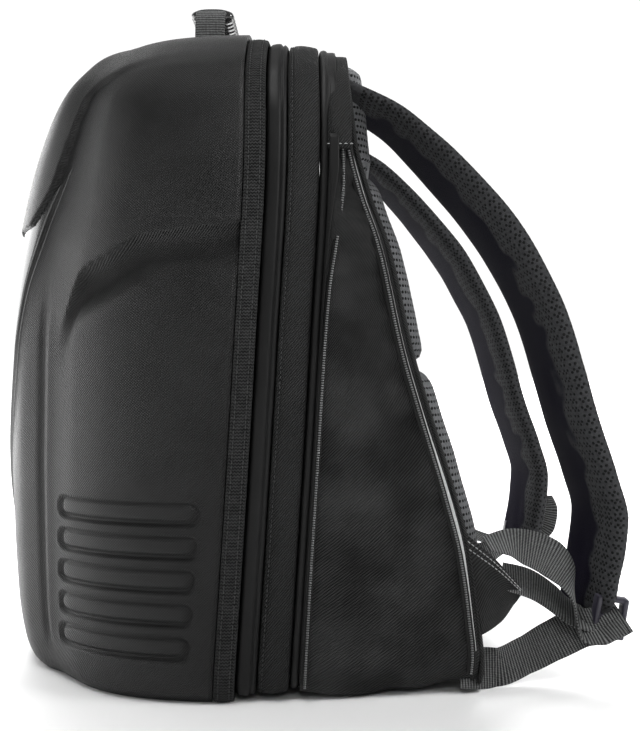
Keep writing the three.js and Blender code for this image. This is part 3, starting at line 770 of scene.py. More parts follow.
# Sizes of the vents: five recesses, each with a raised bar in it
vent_count = 5
vent_first_z = 38.1 * MM
vent_pitch = 22.9 * MM
vent_low_x = -174 * MM + shift_x
vent_high_x = -66 * MM + shift_x
vent_shrink = 1.6 * MM
vent_half = 8.8 * MM
vent_corner = 7 * MM
vent_sink = 1.8 * MM
vent_lip = 0.7 * MM
vent_bar_half = 6.4 * MM
vent_bar_corner = 6 * MM
vent_bar_lift = 1.2 * MM
vent_bar_start = 3.5 * MM
vent_bar_end = 2.5 * MM
vent_rise = 3.0 * MM

# The front edge, where the side turns into the nose, with the channel before it
edge_deep = 0.715
edge_rise = 1.6 * MM
channel_deep = 0.75
channel_sink = 2.0 * MM


def rounded_bar(x, z, low, high, half, radius):
    """Signed distance to a bar with round ends, below zero inside."""
    dx = np.abs(x - (low + high) / 2) - (high - low) / 2 + radius
    dz = np.abs(z) - half + radius
    outside = np.hypot(np.maximum(dx, 0), np.maximum(dz, 0))
    return outside + np.minimum(np.maximum(dx, dz), 0) - radius


def shell_detail(points, deep, up):
    """Fine relief of the shell: the vents, the front edge and its groove."""
    x, z = points[..., 0], points[..., 2]
    total = np.zeros_like(x)
    for index in range(vent_count):
        middle = vent_first_z + vent_pitch * index
        high = vent_high_x - vent_shrink * (vent_count - 1 - index)
        recess = rounded_bar(x, z - middle, vent_low_x, high, vent_half, vent_corner)
        bar = rounded_bar(
            x, z - middle - vent_bar_lift, vent_low_x + vent_bar_start, high - vent_bar_end, vent_bar_half,
            vent_bar_corner
        )
        inside = 1 - smooth_step(recess, -2.0 * MM, 0.3 * MM)
        lip = np.exp(-((recess - 0.9 * MM) / (1.1 * MM)) ** 2)
        raised = 1 - smooth_step(bar, -2.4 * MM, 0.4 * MM)
        total += lip * vent_lip - inside * vent_sink + raised * vent_rise
    window = smooth_step(up, 0.03, 0.08) * (1 - smooth_step(up, 0.5, 0.62))
    edge = np.exp(-((deep - edge_deep) / 0.02) ** 2) * edge_rise
    channel = np.exp(-((deep - channel_deep) / 0.016) ** 2) * channel_sink
    total += window * (edge - channel)
    return total


# The shell's mesh is finer over the vents, the lip and the nose
vent_band = (24 * MM, 143 * MM)
lip_band = (315 * MM, 445 * MM)
vent_rows, lip_rows, plain_rows = 1.45 * MM, 1.6 * MM, 3.4 * MM
nose_columns, side_columns, rim_columns = 2.0 * MM, 2.3 * MM, 3.6 * MM
inner_columns = 41


def make_shell():
    """Hollow shell: a fine outer skin and a plain inner wall, joined at the rim and closed at both ends."""
    dense = np.linspace(0, 1, 2400)

    def row_spacing(share):
        z = level_path(share)[:, 0]
        vents = (z > vent_band[0]) & (z < vent_band[1])
        lip = (z > lip_band[0]) & (z < lip_band[1])
        return np.where(vents, vent_rows, np.where(lip, lip_rows, plain_rows))

    def column_spacing(share):
        deep = plan_path(share)[:, 0] / shell_depth
        return np.where(deep > 0.7, nose_columns, np.where(deep > 0.06, side_columns, rim_columns))

    rows = spaced(dense, level_path(dense), row_spacing)
    columns = spaced(dense, plan_path(dense), column_spacing)
    outer = shell_surface(rows, columns)
    sparse = columns[np.linspace(0, len(columns) - 1, inner_columns).astype(int)]
    inner = shell_surface(rows, sparse, detail=False, inner=shell_wall)
    inner[..., 2] = shell_wall + inner[..., 2] * (shell_height - 2 * shell_wall) / shell_height
    inner[:, 0, 0] = outer[:, 0, 0]
    inner[:, -1, 0] = outer[:, -1, 0]
    inner[:, 0, 1] = outer[:, 0, 1] + shell_wall
    inner[:, -1, 1] = outer[:, -1, 1] - shell_wall
    ring = np.concatenate([outer, inner[:, ::-1]], axis=1)
    obj = grid_mesh("shell_skin", ring, wrap_columns=True)
    count = ring.shape[1]
    outer_count = outer.shape[1]
    work = bmesh.new()
    work.from_mesh(obj.data)
    work.verts.ensure_lookup_table()
    for row in (0, len(rows) - 1):
        start = row * count
        skin_loop = [work.verts[start + k] for k in range(outer_count)]
        wall_loop = [work.verts[start + outer_count + k] for k in range(count - outer_count)]
        work.faces.new(skin_loop)
        work.faces.new(wall_loop)
        work.faces.new([skin_loop[-1], wall_loop[0], wall_loop[-1], skin_loop[0]])
    bmesh.ops.triangulate(work, faces=[f for f in work.faces if len(f.verts) > 4])
    work.to_mesh(obj.data)
    work.free()
    tidy(obj)
    return finished(obj, ["shell"], shell_look)


panel_foot = 0.17
panel_top_half = 110 * MM
panel_tuck = 0.012
panel_lift = 2.0 * MM
panel_wall = 1.2 * MM

# Half width of the front panel with height
Half = namedtuple("Half", "up half")
panel_sides = [
    Half(panel_foot, 40 * MM),
    Half(0.2, 52 * MM),
    Half(0.35, 82 * MM),
    Half(0.5, 98 * MM),
    Half(0.574, 102 * MM),
    Half(0.636, 106 * MM),
    Half(0.7, panel_top_half),
    Half(0.78, 118 * MM),
]


def make_front_panel():
    """Gloss insert on the nose: it runs from low on the front up to the hood's lower edge."""
    half_at = table_curve(panel_sides, "up", "half")
    level = np.linspace(0, 1, 2400)
    up_of = level_path(level)[:, 0] / shell_height
    ups = np.linspace(panel_foot, 0.8, 130)
    skin = shell_surface(np.interp(ups, up_of, level), np.linspace(0.12, 0.88, 301), False, hooded=False)
    across = np.sin(np.linspace(-1, 1, 81) * math.pi / 2)
    plan_wides = [row.wide * half_width for row in reversed(plan_curve)]
    plan_deeps = [row.deep for row in reversed(plan_curve)]
    deep_across = np.interp(np.abs(across * panel_top_half), plan_wides, plan_deeps)
    top = hood_at(deep_across) + panel_tuck
    outer, inner = [], []
    for share in np.sin(np.linspace(0, 1, 110) * math.pi / 2):
        up = panel_foot + (top - panel_foot) * share
        y = across * half_at(up)
        row = []
        for u, v in zip(up, y):
            k = np.clip(np.searchsorted(ups, u) - 1, 0, len(ups) - 2)
            t = np.clip((u - ups[k]) / (ups[k + 1] - ups[k]), 0, 1)
            low, high = [np.interp(v, skin[k + n, :, 1], skin[k + n, :, 0]) for n in (0, 1)]
            row.append((low + (high - low) * t, v, u * shell_height))
        row = np.array(row)
        slope = np.gradient(row[:, 0], row[:, 1])
        outward = unit(np.stack([-1 + 0 * slope, slope, 0 * slope], axis=-1))
        edge = smooth_step(np.abs(across), 0.975, 1.0) + smooth_step(0.02 - share, 0.0, 0.02)
        outer.append(row + outward * (panel_lift * (1 - 0.9 * np.clip(edge, 0, 1)))[:, None])
        inner.append(row - outward * panel_wall)
    ring = np.concatenate([np.array(outer), np.array(inner)[:, ::-1]], axis=1)
    obj = tidy(grid_mesh("front_gloss_panel", ring, wrap_columns=True, caps=True))
    return finished(obj, ["front_panel"], gloss_look)


def loop_shares(count=440):
    """Evenly spaced points round the body: shares of the half width and the height."""
    t = np.linspace(0, 1, 1200)
    side = level_path(t)[:, :2] / np.array([shell_height, half_width])
    far = np.stack([side[:, 1], side[:, 0]], axis=-1)
    near = far[::-1] * np.array([-1, 1])
    loop = np.concatenate([far, near, far[:1]])
    size = loop * np.array([half_width, shell_height])
    chord = run_lengths(size)
    even = np.linspace(0, chord[-1], count, endpoint=False)
    return np.stack([np.interp(even, chord, loop[:, k]) for k in range(2)], axis=-1)


loop = loop_shares()


def body_loop(width, height, inset=0.0):
    """Outline round the body in Y and Z, drawn in by an inset on every side."""
    y = loop[:, 0] * (width / 2 - inset)
    z = inset + loop[:, 1] * (height - 2 * inset)
    return np.stack([y, z], axis=-1)


def loop_normals(outline):
    """Outward ways in Y and Z round an outline."""
    ahead = np.roll(outline, -2, axis=0)
    behind = np.roll(outline, 2, axis=0)
    along = unit(ahead - behind)
    return np.stack([along[:, 1], -along[:, 0]], axis=-1)


def ripple(points, scale, seed=0.0):
    """Smooth noise from -1 to 1 at each point, fixed in space."""
    flat = points.reshape(-1, 3) / scale
    values = [noise.noise(Vector((p[0] + seed, p[1] + seed * 0.7, p[2] - seed))) for p in flat]
    return np.array(values).reshape(points.shape[:-1])


def ring_points(start, profile, inset=0.0, wobble=0.0, seed=0.0):
    """Points of a ring round the body: profile rows are (along, out) in metres."""
    outline = body_loop(2 * half_width, shell_height - ring_drop, inset)
    normal = loop_normals(outline)
    rows = []
    for along, out in profile:
        y = outline[:, 0] + normal[:, 0] * out
        z = outline[:, 1] + normal[:, 1] * out
        x = rim_x(outline[:, 1]) + start + along
        rows.append(np.stack([x, y, z], axis=-1))
    grid = np.array(rows).transpose(1, 0, 2)
    if wobble:
        push = ripple(grid, 24 * MM, seed) * wobble + ripple(grid, 9 * MM, seed + 5) * wobble * 0.4
        outward = np.stack([0 * normal[:, 0], normal[:, 0], normal[:, 1]], axis=-1)[:, None, :]
        top = np.array([max(out, -2 * MM) for _, out in profile]) > -1.5 * MM
        grid = grid + outward * (push * top[None, :])[..., None]
    return grid


def rounded_profile(length, wall, corner, crown=0.0, steps=14):
    """Closed cross section of a band: (along, out), crowned between rounded edges."""
    points = []
    for k in range(steps + 1):
        share = k / steps
        edge = min(share, 1 - share) * length
        dip = corner - math.sqrt(max(corner ** 2 - max(corner - edge, 0) ** 2, 0))
        points.append((share * length, crown * math.sin(math.pi * share) - dip))
    return points + [(length, -wall), (length / 2, -wall), (0.0, -wall)]


def groove_profile(profile, places, depth, half):
    """The same cross section with stitched grooves at some places along it."""
    wall = min(out for _, out in profile)
    return [
        (a, o - sum(depth * math.exp(-((a - p) / half) ** 2) for p in places) if o > wall + 1e-6 else o)
        for a, o in profile
    ]


def make_ring(name, start, profile, inset, node, material, wobble=0.0, seed=0.0):
    """Closed ring round the body with one cross section."""
    obj = tidy(grid_mesh(name, ring_points(start, profile, inset, wobble, seed), True, True))
    return finished(obj, [node], material)


binding_start = clear
channel_start = binding_start + binding_length + clear
band_start = channel_start + channel_length + clear
piping_start = band_start + band_length + clear
gusset_start = piping_start + piping_length + clear


def seam_line(start, along, inset, out):
    """Line of a seam round the body, and the way it faces."""
    outline = body_loop(2 * half_width, shell_height - ring_drop, inset)
    normal = loop_normals(outline)
    x = rim_x(outline[:, 1]) + start + along
    y = outline[:, 0] + normal[:, 0] * out
    z = outline[:, 1] + normal[:, 1] * out
    points = np.stack([x, y, z], axis=-1)
    outward = np.stack([0 * x, normal[:, 0], normal[:, 1]], axis=-1)
    return points, outward


# Sizes of the rings' sections: seams are places along a ring
tape_seams = (3.4 * MM, 11.2 * MM)
channel_seam = 10.4 * MM
band_seam = 3.2 * MM
tape_wall = 4 * MM
band_wall = 7 * MM
seam_stitch_pitch = 3.4 * MM
seam_tape_length = 8 * MM
seam_tape_inset = 7.4 * MM


def make_rings():
    """The rim tape, the zip's cover, the twill band, the piping and the tape inside its seam."""
    tape = rounded_profile(binding_length, tape_wall, 1.6 * MM, 0.9 * MM, 26)
    tape = groove_profile(tape, tape_seams, 0.5 * MM, 0.8 * MM)
    make_ring("rim_tape", binding_start, tape, 0, "rim_binding", knit_look, 0.25 * MM, 3)
    channel = rounded_profile(channel_length, band_wall, 3.0 * MM, 1.6 * MM, 22)
    channel = groove_profile(channel, (channel_seam,), 1.5 * MM, 0.9 * MM)
    make_ring("zip_cover_strip", channel_start, channel, channel_inset, "zip_channel",
              strip_look, 0.5 * MM, 11)
    band = rounded_profile(band_length, band_wall, 2.4 * MM, 1.6 * MM, 26)
    band = groove_profile(band, (band_seam,), 0.8 * MM, 0.9 * MM)
    make_ring("frame_twill_band", band_start, band, band_inset, "frame_band", twill_look,
              0.9 * MM, 23)
    radius = piping_length / 2
    cord = [(radius + radius * math.cos(a), radius * math.sin(a) - radius) for a in round_angles(16)]
    make_ring("frame_piping_cord", piping_start, cord, piping_inset, "frame_piping", piping_look,
              0.3 * MM, 31)
    seam_tape = rounded_profile(seam_tape_length, 1.2 * MM, 0.4 * MM, 0, 6)
    seam_grid = ring_points(gusset_start - seam_tape_length * 0.4, seam_tape, seam_tape_inset)
    finished(tidy(grid_mesh("inner_seam_tape", seam_grid, True, True)), (), piping_look)
    stitch = stitch_item(2.6 * MM, 0.45 * MM)
    for name, start, along, inset, out, slot in (
        ("tape_stitches_front", binding_start, tape_seams[0], 0, 0.35 * MM, "binding"),
        ("tape_stitches_rear", binding_start, tape_seams[1], 0, 0.35 * MM, "binding"),
        ("band_stitches", band_start, band_seam, band_inset, 0.2 * MM, "twill"),
    ):
        points, outward = seam_line(start, along, inset, out)
        row = set_along(name, points, outward, stitch, black_thread, seam_stitch_pitch, True)
        finished(row)
    bpy.data.objects.remove(stitch)


# The gusset's foot rises to the rear, and its cloth has broad waves, folds and puckers at its seams
rear_lift = 6 * MM
wave_size, wave_push = 60 * MM, 5.0 * MM
fold_size, fold_push = 26 * MM, 3.0 * MM
pucker_size, pucker_push = 15 * MM, 2.6 * MM
gusset_steps = 68


def gusset_grid(shares, out=0.0, wrinkled=False):
    """Points on the gusset's skin: loop points by shares from its front edge to its rear edge."""
    front = body_loop(2 * half_width, shell_height - gusset_drop, gusset_inset - out)
    rear = body_loop(back_width, back_height, -out)
    start = rim_x(front[:, 1]) + gusset_start
    end = back_x(rear[:, 1]) - clear
    shares = np.asarray(shares)[None, :]
    x = start[:, None] + (end - start)[:, None] * shares
    y = front[:, 0][:, None] + (rear[:, 0] - front[:, 0])[:, None] * shares
    z = front[:, 1][:, None] + (rear[:, 1] - front[:, 1])[:, None] * shares
    z = z + rear_lift * smooth_step(shares, 0.5, 0.95) * smooth_step(-loop[:, 1], -0.3, 0.0)[:, None]
    points = np.stack([x, y, z], axis=-1)
    if wrinkled:
        fade = np.sin(math.pi * np.clip(shares, 0, 1)) ** 0.5
        length = (end - start)[:, None]
        broad = ripple(points * np.array([1, 1, 0.6]), wave_size, 2) * wave_push
        folds = ripple(points * np.array([1, 1, 1.6]), fold_size, 9) * fold_push
        pucker = ripple(points * np.array([0.5, 1, 2.2]), pucker_size, 17) * pucker_push
        near_front = np.exp(-(shares * length / (26 * MM)) ** 2)
        near_rear = np.exp(-((1 - shares) * length / (22 * MM)) ** 2)
        push = fade * (broad + folds) + pucker * (near_front + near_rear) * fade
        normal = loop_normals(front)
        outward = np.stack([0 * normal[:, 0], normal[:, 0], normal[:, 1]], axis=-1)[:, None, :]
        points = points + outward * push[..., None]
    return points


def make_gusset():
    """The wedge shaped fabric wall, a hollow sleeve."""
    outer = gusset_grid(np.linspace(0, 1, gusset_steps), 0, True)
    inner = gusset_grid(np.linspace(1, 0, 16), -gusset_wall)
    ring = np.concatenate([outer, inner], axis=1)
    obj = tidy(grid_mesh("gusset_wall", ring, True, True))
    return finished(obj, ["gusset"], gusset_look)


def side_rows(low, high, side):
    """Loop indices of one side between two height shares, from low to high."""
    on_side = [k for k in range(len(loop)) if loop[k, 0] * side > 0.3 and low <= loop[k, 1] <= high]
    return sorted(on_side, key=lambda k: loop[k, 1])


def gusset_line(side, low, high, start=None, from_rear=None, out=0.0):
    """Line along the gusset's side at a distance behind its front edge, or before its rear edge."""
    ends = gusset_grid([0, 1], out)
    points = []
    for k in side_rows(low, high, side):
        a, b = ends[k]
        length = np.linalg.norm(b - a)
        place = start(loop[k, 1]) if start is not None else length - from_rear
        place = min(place, length - 3 * MM)
        points.append(a + (b - a) * place / length)
    points = np.array(points)
    outward = np.array([[0.25, side, 0.0]] * len(points))
    return points, outward


# Where the front zip's teeth run behind the gusset's front edge, and the flap's width beside them
Fitting = namedtuple("Fitting", "up teeth flap")
front_fittings = [
    Fitting(0.0, 3.0 * MM, 0.4 * MM),
    Fitting(0.1, 2.6 * MM, 0.4 * MM),
    Fitting(0.22, 2.2 * MM, 0.4 * MM),
    Fitting(0.357, 2.2 * MM, 0.4 * MM),
    Fitting(0.483, 2.4 * MM, 0.4 * MM),
    Fitting(0.596, 3.6 * MM, 0.8 * MM),
    Fitting(0.661, 6.6 * MM, 1.6 * MM),
    Fitting(0.71, 9.0 * MM, 3.6 * MM),
    Fitting(0.758, 10.6 * MM, 6.6 * MM),
    Fitting(0.83, 10.6 * MM, 6.6 * MM),
]
teeth_at = table_curve(front_fittings, "up", "teeth")
flap_at = table_curve(front_fittings, "up", "flap")
fold_width = 17 * MM
fold_thick = 4.4 * MM
tape_thick = 1.5 * MM
strip_clear = 0.9 * MM
zip_top = 0.815


def strip_along(name, line, width, thick, nodes, material, side):
    """Crowned strip along a line on the gusset's side."""
    widths = np.broadcast_to(width, (len(line),))
    angles = round_angles(18)
    across, lift = boxed(np.cos(angles), 0.6), 0.5 + 0.5 * boxed(np.sin(angles), 0.7)
    sections = [
        [(p[0] + wide / 2 * a, p[1] + side * thick * h, p[2]) for a, h in zip(across, lift)]
        for p, wide in zip(line, widths)
    ]
    obj = tidy(grid_mesh(name, np.array(sections), wrap_columns=True, caps=True))
    return finished(obj, nodes, material)


def make_zip(place, hand, side, width, tooth, line, outward):
    """Tape and teeth of one expansion zip."""
    node = f"zip_{place}_{hand}"
    strip_along(f"zip_{place}_tape_{hand}", line, width, tape_thick, [node], strip_look, side)
    raised = line + outward * (tape_thick - 0.1 * MM)
    row = set_along(f"zip_{place}_teeth_{hand}", raised, outward, tooth, tooth_look, tooth_pitch)
    finished(row)


def make_zips():
    """On each side: both zips, the reflective strip, the flap and the folded cloth at the top corner."""
    tooth = tooth_item(1.8 * MM, 1.0 * MM, 0.8 * MM)
    stitch = stitch_item(2.4 * MM, 0.4 * MM)
    for hand, side in SIDES:
        line, outward = gusset_line(side, 0.012, zip_top, start=teeth_at, out=strip_clear)
        make_zip("front", hand, side, 4.6 * MM, tooth, line, outward)
        line, outward = gusset_line(side, 0.02, zip_top, from_rear=6 * MM, out=strip_clear)
        make_zip("rear", hand, side, 6 * MM, tooth, line, outward)
        edge = gusset_line(side, 0.05, 0.8, from_rear=2.6 * MM, out=strip_clear)[0]
        ups = edge[:, 2] / shell_height
        width = (0.6 + 2.6 * np.exp(-((ups - 0.27) / 0.09) ** 2) + 1.4 * smooth_step(ups, 0.62, 0.76)) * MM
        strip_along(f"reflective_strip_{hand}", edge, width, 1.8 * MM, (), tape_look, side)
        flap = gusset_line(side, 0.5, 0.825, start=lambda up: flap_at(up) / 2, out=strip_clear)[0]
        width = flap_at(flap[:, 2] / shell_height)
        strip_along(f"side_flap_strip_{hand}", flap, width, 2.4 * MM, [f"side_flap_{hand}"],
                    strip_look, side)
        fold = gusset_line(side, 0.8, 0.975, start=lambda up: fold_width / 2, out=strip_clear)[0]
        strip_along(f"top_fold_{hand}", fold, fold_width, fold_thick, [f"top_tab_{hand}"],
                    twill_look, side)
        ends = np.array([[-0.46, 0, 0], [0.46, 0, 0]]) * fold_width
        seam = fold[0] + ends + np.array([0, side * (fold_thick - 0.2 * MM), 3 * MM])
        row = set_along(f"top_fold_stitches_{hand}", seam, [[0, side, 0]] * 2, stitch, pale_thread, 3.2 * MM)
        finished(row)
    bpy.data.objects.remove(tooth)
    bpy.data.objects.remove(stitch)


def make_back_panel():
    """Board against the back, with rounded side edges."""
    half_at = smooth_curve(
        [row.up * back_height for row in shell_levels], [row.width * back_width / 2 for row in shell_levels]
    )
    zs = np.linspace(rear_lift, back_height, 120)
    rounded_side = [(1, 0.0), (1, 0.5), (0.985, 0.9), (0.96, 1.0)]
    section = [(-a, d) for a, d in rounded_side] + [(0, 1.0)] + rounded_side[::-1] + [(0, 0.0)]
    grid = np.array([[(back_x(z) + back_thick * d, half_at(z) * a, z) for a, d in section] for z in zs])
    obj = tidy(grid_mesh("back_board", grid, wrap_columns=True, caps=True))
    return finished(obj, ["back_panel"], twill_look)


# The pads' places up the back as shares of its height, and their widths as shares of the pads' width
Pad = namedtuple("Pad", "foot top width")
pads = {
    "pad_low": Pad(0.16, 0.478, 1.0),
    "pad_mid": Pad(0.492, 0.79, 1.0),
    "pad_top": Pad(0.804, 0.975, 0.88),
}

# The rounded edge takes one part in this many of a pad's half width and half height
pad_edge = 5.5
pad_wave, pad_wave_push = 22 * MM, 0.9 * MM
pad_hole_radius, pad_hole_depth = 1.2 * MM, 0.7 * MM


def pad_height(u, v):
    """Crowned height of a pad, as a share of its thickness, from shares across and up it."""
    edge = np.clip((1 - np.maximum(np.abs(u), np.abs(v))) * pad_edge, 0, 1)
    rounded = np.sqrt(np.maximum(1 - (1 - edge) ** 2, 0))
    return rounded * (0.94 + 0.06 * np.cos(u * math.pi))


def pad_point(pad, u, v):
    """Points on a pad's face, from shares across and up it (-1 to 1)."""
    z = back_height * (pad.foot + (pad.top - pad.foot) * (v + 1) / 2)
    corner = 1 - 0.14 * smooth_step(np.abs(v), 0.75, 1.0)
    y = pad_width / 2 * pad.width * corner * u
    height = pad_height(u, v)
    x = board_x(z) + clear + pad_thick * height
    point = np.stack([x, y, z], axis=-1)
    point[..., 0] += ripple(point * np.array([0, 1, 1]), pad_wave, 4) * pad_wave_push * height ** 3
    return point


def pad_spots(pad):
    """Shares across and up a pad of its perforations, in staggered rows that turn over its side edges."""
    half = pad_width / 2 * pad.width
    height = back_height * (pad.top - pad.foot)
    flat = np.arange(-0.8 * half, 0.8 * half, pad_hole_pitch) / half
    rim = 1 - (1 - np.cos(np.linspace(0.12, 1.25, 6))) / pad_edge
    places = np.concatenate([-rim, flat, rim[::-1]])
    rows = int(height * 0.92 / (pad_hole_pitch * 0.75))
    spots = []
    for r in range(rows):
        steps = np.arange(len(places) - 1) + (0.5 if r % 2 else 0.0)
        across = np.interp(steps, np.arange(len(places)), places)
        spots += [(u, -0.95 + 1.9 * r / rows) for u in across]
    return np.array(spots).T


def make_pads():
    """Crowned pads on the back, each with its field of perforations."""
    hole = hole_item(pad_hole_radius, pad_hole_depth)
    v = np.sin(np.linspace(-1, 1, 80) * math.pi / 2)
    u = np.sin(np.linspace(-1, 1, 90) * math.pi / 2)
    v, u = np.meshgrid(v, u, indexing="ij")
    step = 0.01
    for name, pad in pads.items():
        front = pad_point(pad, u, v)
        rear = front.copy()
        rear[..., 0] = board_x(rear[..., 2]) + clear * 0.5
        ring = np.concatenate([front, rear[:, ::-1]], axis=1)
        obj = tidy(grid_mesh(name + "_cushion", ring, wrap_columns=True, caps=True))
        finished(obj, [name], mesh_look)
        across, up = pad_spots(pad)
        centre = pad_point(pad, across, up)
        sideways = pad_point(pad, across + step, up) - centre
        upwards = pad_point(pad, across, up + step) - centre
        outward = np.cross(sideways, upwards)
        row = set_along(name + "_holes", centre, outward, hole, hole_look, along=upwards)
        finished(row)
    bpy.data.objects.remove(hole)


# Sizes of the straps, adjusters and webbing
strap_top_z = 446 * MM
strap_drop = 386 * MM
strap_reach = 206 * MM
strap_width = 70 * MM
strap_thick = 15 * MM
strap_tilt = 12 * MM
strap_spread = 97 * MM
strap_steps = 240
strap_hole_rows = 3.2 * MM
strap_hole_pitch = 4.7 * MM
strap_hole_radius, strap_hole_depth = 1.15 * MM, 0.6 * MM
strap_fold, strap_fold_push = 17 * MM, 2.2 * MM
strap_wave, strap_wave_push = 30 * MM, 0.7 * MM

# Sections down a strap: its outer edge's place, then its thickness, width, spread and tilt as shares
Strap = namedtuple("Strap", "out down thick wide spread tilt")
strap_path = [
    Strap(0.185, 0.05, 0.8, 0.94, 0.86, 0.4),
    Strap(0.325, 0.112, 0.85, 0.98, 0.9, 0.7),
    Strap(0.483, 0.198, 0.95, 1.0, 0.95, 0.9),
    Strap(0.607, 0.28, 1.0, 1.0, 0.98, 1.0),
    Strap(0.694, 0.36, 1.0, 1.0, 1.0, 1.0),
    Strap(0.772, 0.445, 1.0, 1.0, 1.0, 1.0),
    Strap(0.835, 0.552, 1.0, 1.0, 1.0, 1.0),
    Strap(0.888, 0.653, 1.0, 1.0, 1.0, 1.0),
    Strap(0.956, 0.759, 1.0, 0.98, 0.99, 1.0),
    Strap(1.0, 0.852, 1.0, 0.94, 0.98, 1.0),
    Strap(0.995, 0.912, 1.0, 0.88, 0.97, 1.1),
    Strap(0.966, 1.0, 0.9, 0.8, 0.96, 1.2),
]

# The gathered end below the last row, behind the adjuster
strap_gather = Strap(0.945, 1.045, 0.8, 0.62, 0.95, 1.3)


def strap_rows():
    """Smooth rows down a strap: outer edge in X and Z, and the strap's shares there."""
    root_x = board_x(strap_top_z) + clear
    strap_root = Strap(0.0, 0.0, 0.75, 0.9, 0.84, 0.0)
    table = np.array([strap_root, *strap_path, strap_gather])
    table[:, 0] = root_x + table[:, 0] * strap_reach
    table[:, 1] = strap_top_z - table[:, 1] * strap_drop
    # The shares are made small against the lengths, so that the path is spaced by its lengths
    share_weight = 0.02
    table[:, 2:] *= share_weight
    rows = smooth_path(table)(np.linspace(0, 1, strap_steps))
    rows[:, 2:] /= share_weight
    return rows


def strap_point(rows, side, across, through):
    """Points on a strap from its shares across (-1 to 1) and through (0 outer, 1 inner)."""
    along = unit(np.gradient(rows[:, :2], axis=0))
    inward = np.stack([along[:, 1], -along[:, 0]], axis=-1)
    depth = strap_thick * rows[:, 2] * through + strap_tilt * rows[:, 5] * (1 + across) / 2
    x = rows[:, 0] + inward[:, 0] * depth
    z = rows[:, 1] + inward[:, 1] * depth
    y = side * strap_spread * rows[:, 4] + strap_width / 2 * rows[:, 3] * across
    return np.stack([x, y, z], axis=-1)


def strap_section(count):
    """Shares across and through the strap at points evenly spaced round its rounded section."""
    angle = np.linspace(0, 2 * math.pi, 1441)
    c, s = np.cos(angle), np.sin(angle)
    across = boxed(c, 0.42)
    through = 0.5 + 0.5 * boxed(s, 0.7)
    step = np.hypot(np.diff(across) * strap_width / 2, np.diff(through) * strap_thick)
    girth = np.concatenate([[0], np.cumsum(step)])
    even = np.linspace(0, girth[-1], count, endpoint=False)
    return np.interp(even, girth, across), np.interp(even, girth, through)


def strap_hole_places(grid, length, inside):
    """Places, outward ways and running ways of a strap's perforations, none of them on the inner face that
    carries the painted shade.
    """
    columns = grid.shape[1]
    middle = strap_steps // 2
    girth = run_lengths(np.concatenate([grid[middle], grid[middle, :1]]))
    spots, outward, along = [], [], []
    for k, down in enumerate(np.arange(14 * MM, length[-1] - 8 * MM, strap_hole_rows)):
        i = min(int(np.searchsorted(length, down)), len(grid) - 2)
        shift = strap_hole_pitch / 2 if k % 2 else 0
        for g in np.arange(0, girth[-1] - 4 * MM, strap_hole_pitch) + shift:
            j = int(np.interp(g, girth, np.arange(len(girth)))) % columns
            if inside[i, j] > 0.4:
                continue
            here, beside, below = grid[i, j], grid[i, (j + 1) % columns], grid[i + 1, j]
            face = np.cross(below - here, beside - here)
            spots.append(here)
            outward.append(face if np.dot(face, here - grid[i].mean(axis=0)) > 0 else -face)
            along.append(below - here)
    return spots, outward, along


def make_straps():
    """Padded straps: gathered at both ends, with painted shade on the inner face and perforated elsewhere."""
    hole = hole_item(strap_hole_radius, strap_hole_depth)
    rows = strap_rows()
    across, through = strap_section(84)
    length = run_lengths(rows[:, :2])
    lower_gather = smooth_step(length, length[-1] - 70 * MM, length[-1])
    gather = lower_gather + (1 - smooth_step(length, 0, 30 * MM)) * 0.6
    for hand, side in SIDES:
        columns = [strap_point(rows, side, a, t) for a, t in zip(across, through)]
        grid = np.array(columns).transpose(1, 0, 2)
        folds = ripple(grid * np.array([1, 1.4, 0.6]), strap_fold, 3 + side) * strap_fold_push
        push = folds * gather[:, None] + ripple(grid, strap_wave, 8 + side) * strap_wave_push
        grid = grid + unit(grid - grid.mean(axis=1, keepdims=True)) * push[..., None]
        obj = grid_mesh(f"strap_padding_{hand}", grid, wrap_columns=True, caps=True)
        # Painted shade: this attribute is 1 on the inner face, where the strap's finish turns near black.
        lining = obj.data.attributes.new("lining", "FLOAT", "POINT")
        edge = -0.45 + ripple(grid, 16 * MM, 12 + side) * 0.35
        inside = smooth_step(across[None, :] - edge, 0, 0.16) * smooth_step(through, 0.7, 0.9)[None, :]
        lining.data.foreach_set("value", inside.ravel())
        finished(tidy(obj), [f"strap_{hand}"], strap_look)
        spots, outward, along = strap_hole_places(grid, length, inside)
        row = set_along(f"strap_holes_{hand}", spots, outward, hole, hole_look, along=along)
        finished(row)
    bpy.data.objects.remove(hole)


# Sizes of the adjusters, webbing and wing tabs
web_thick = 1.8 * MM
web_width = 28 * MM
lock_width = 24 * MM
lock_height = 31 * MM
lock_thick = 9.5 * MM
lock_bar = 4.5 * MM
lock_y = 114.5 * MM
lock_shift = 5 * MM
rib_height = 0.16 * MM


def strap_end(side):
    """Middle of the strap's lower end where the adjuster hangs, and the way it hangs."""
    row = strap_path[-1]
    root_x = board_x(strap_top_z) + clear
    ends = [
        np.array([root_x + r.out * strap_reach, strap_top_z - r.down * strap_drop]) for r in strap_path[-2:]
    ]
    along = unit(ends[1] - ends[0])
    inward = np.array([along[1], -along[0]])
    across = side * (lock_y - strap_spread * row.spread) / (strap_width / 2 * row.wide)
    depth = strap_thick * row.thick / 2 - lock_shift + strap_tilt * row.tilt * (1 + across) / 2
    return ends[1] + inward * depth, along


def rounded_block(low, high, corner):
    """Grid of a block with well rounded edges, in a flat plane of its own."""
    low, high = np.array(low), np.array(high)
    middle, half = (low + high) / 2, (high - low) / 2
    rows = []
    for a in np.linspace(-math.pi / 2, math.pi / 2, 11):
        ring = []
        for b in round_angles(20):
            way = np.array([math.cos(a) * math.cos(b), math.cos(a) * math.sin(b), math.sin(a)])
            ring.append(middle + np.sign(way) * (half - corner) * (np.abs(way) > 1e-6) + way * corner)
        rows.append(ring)
    return np.array(rows)


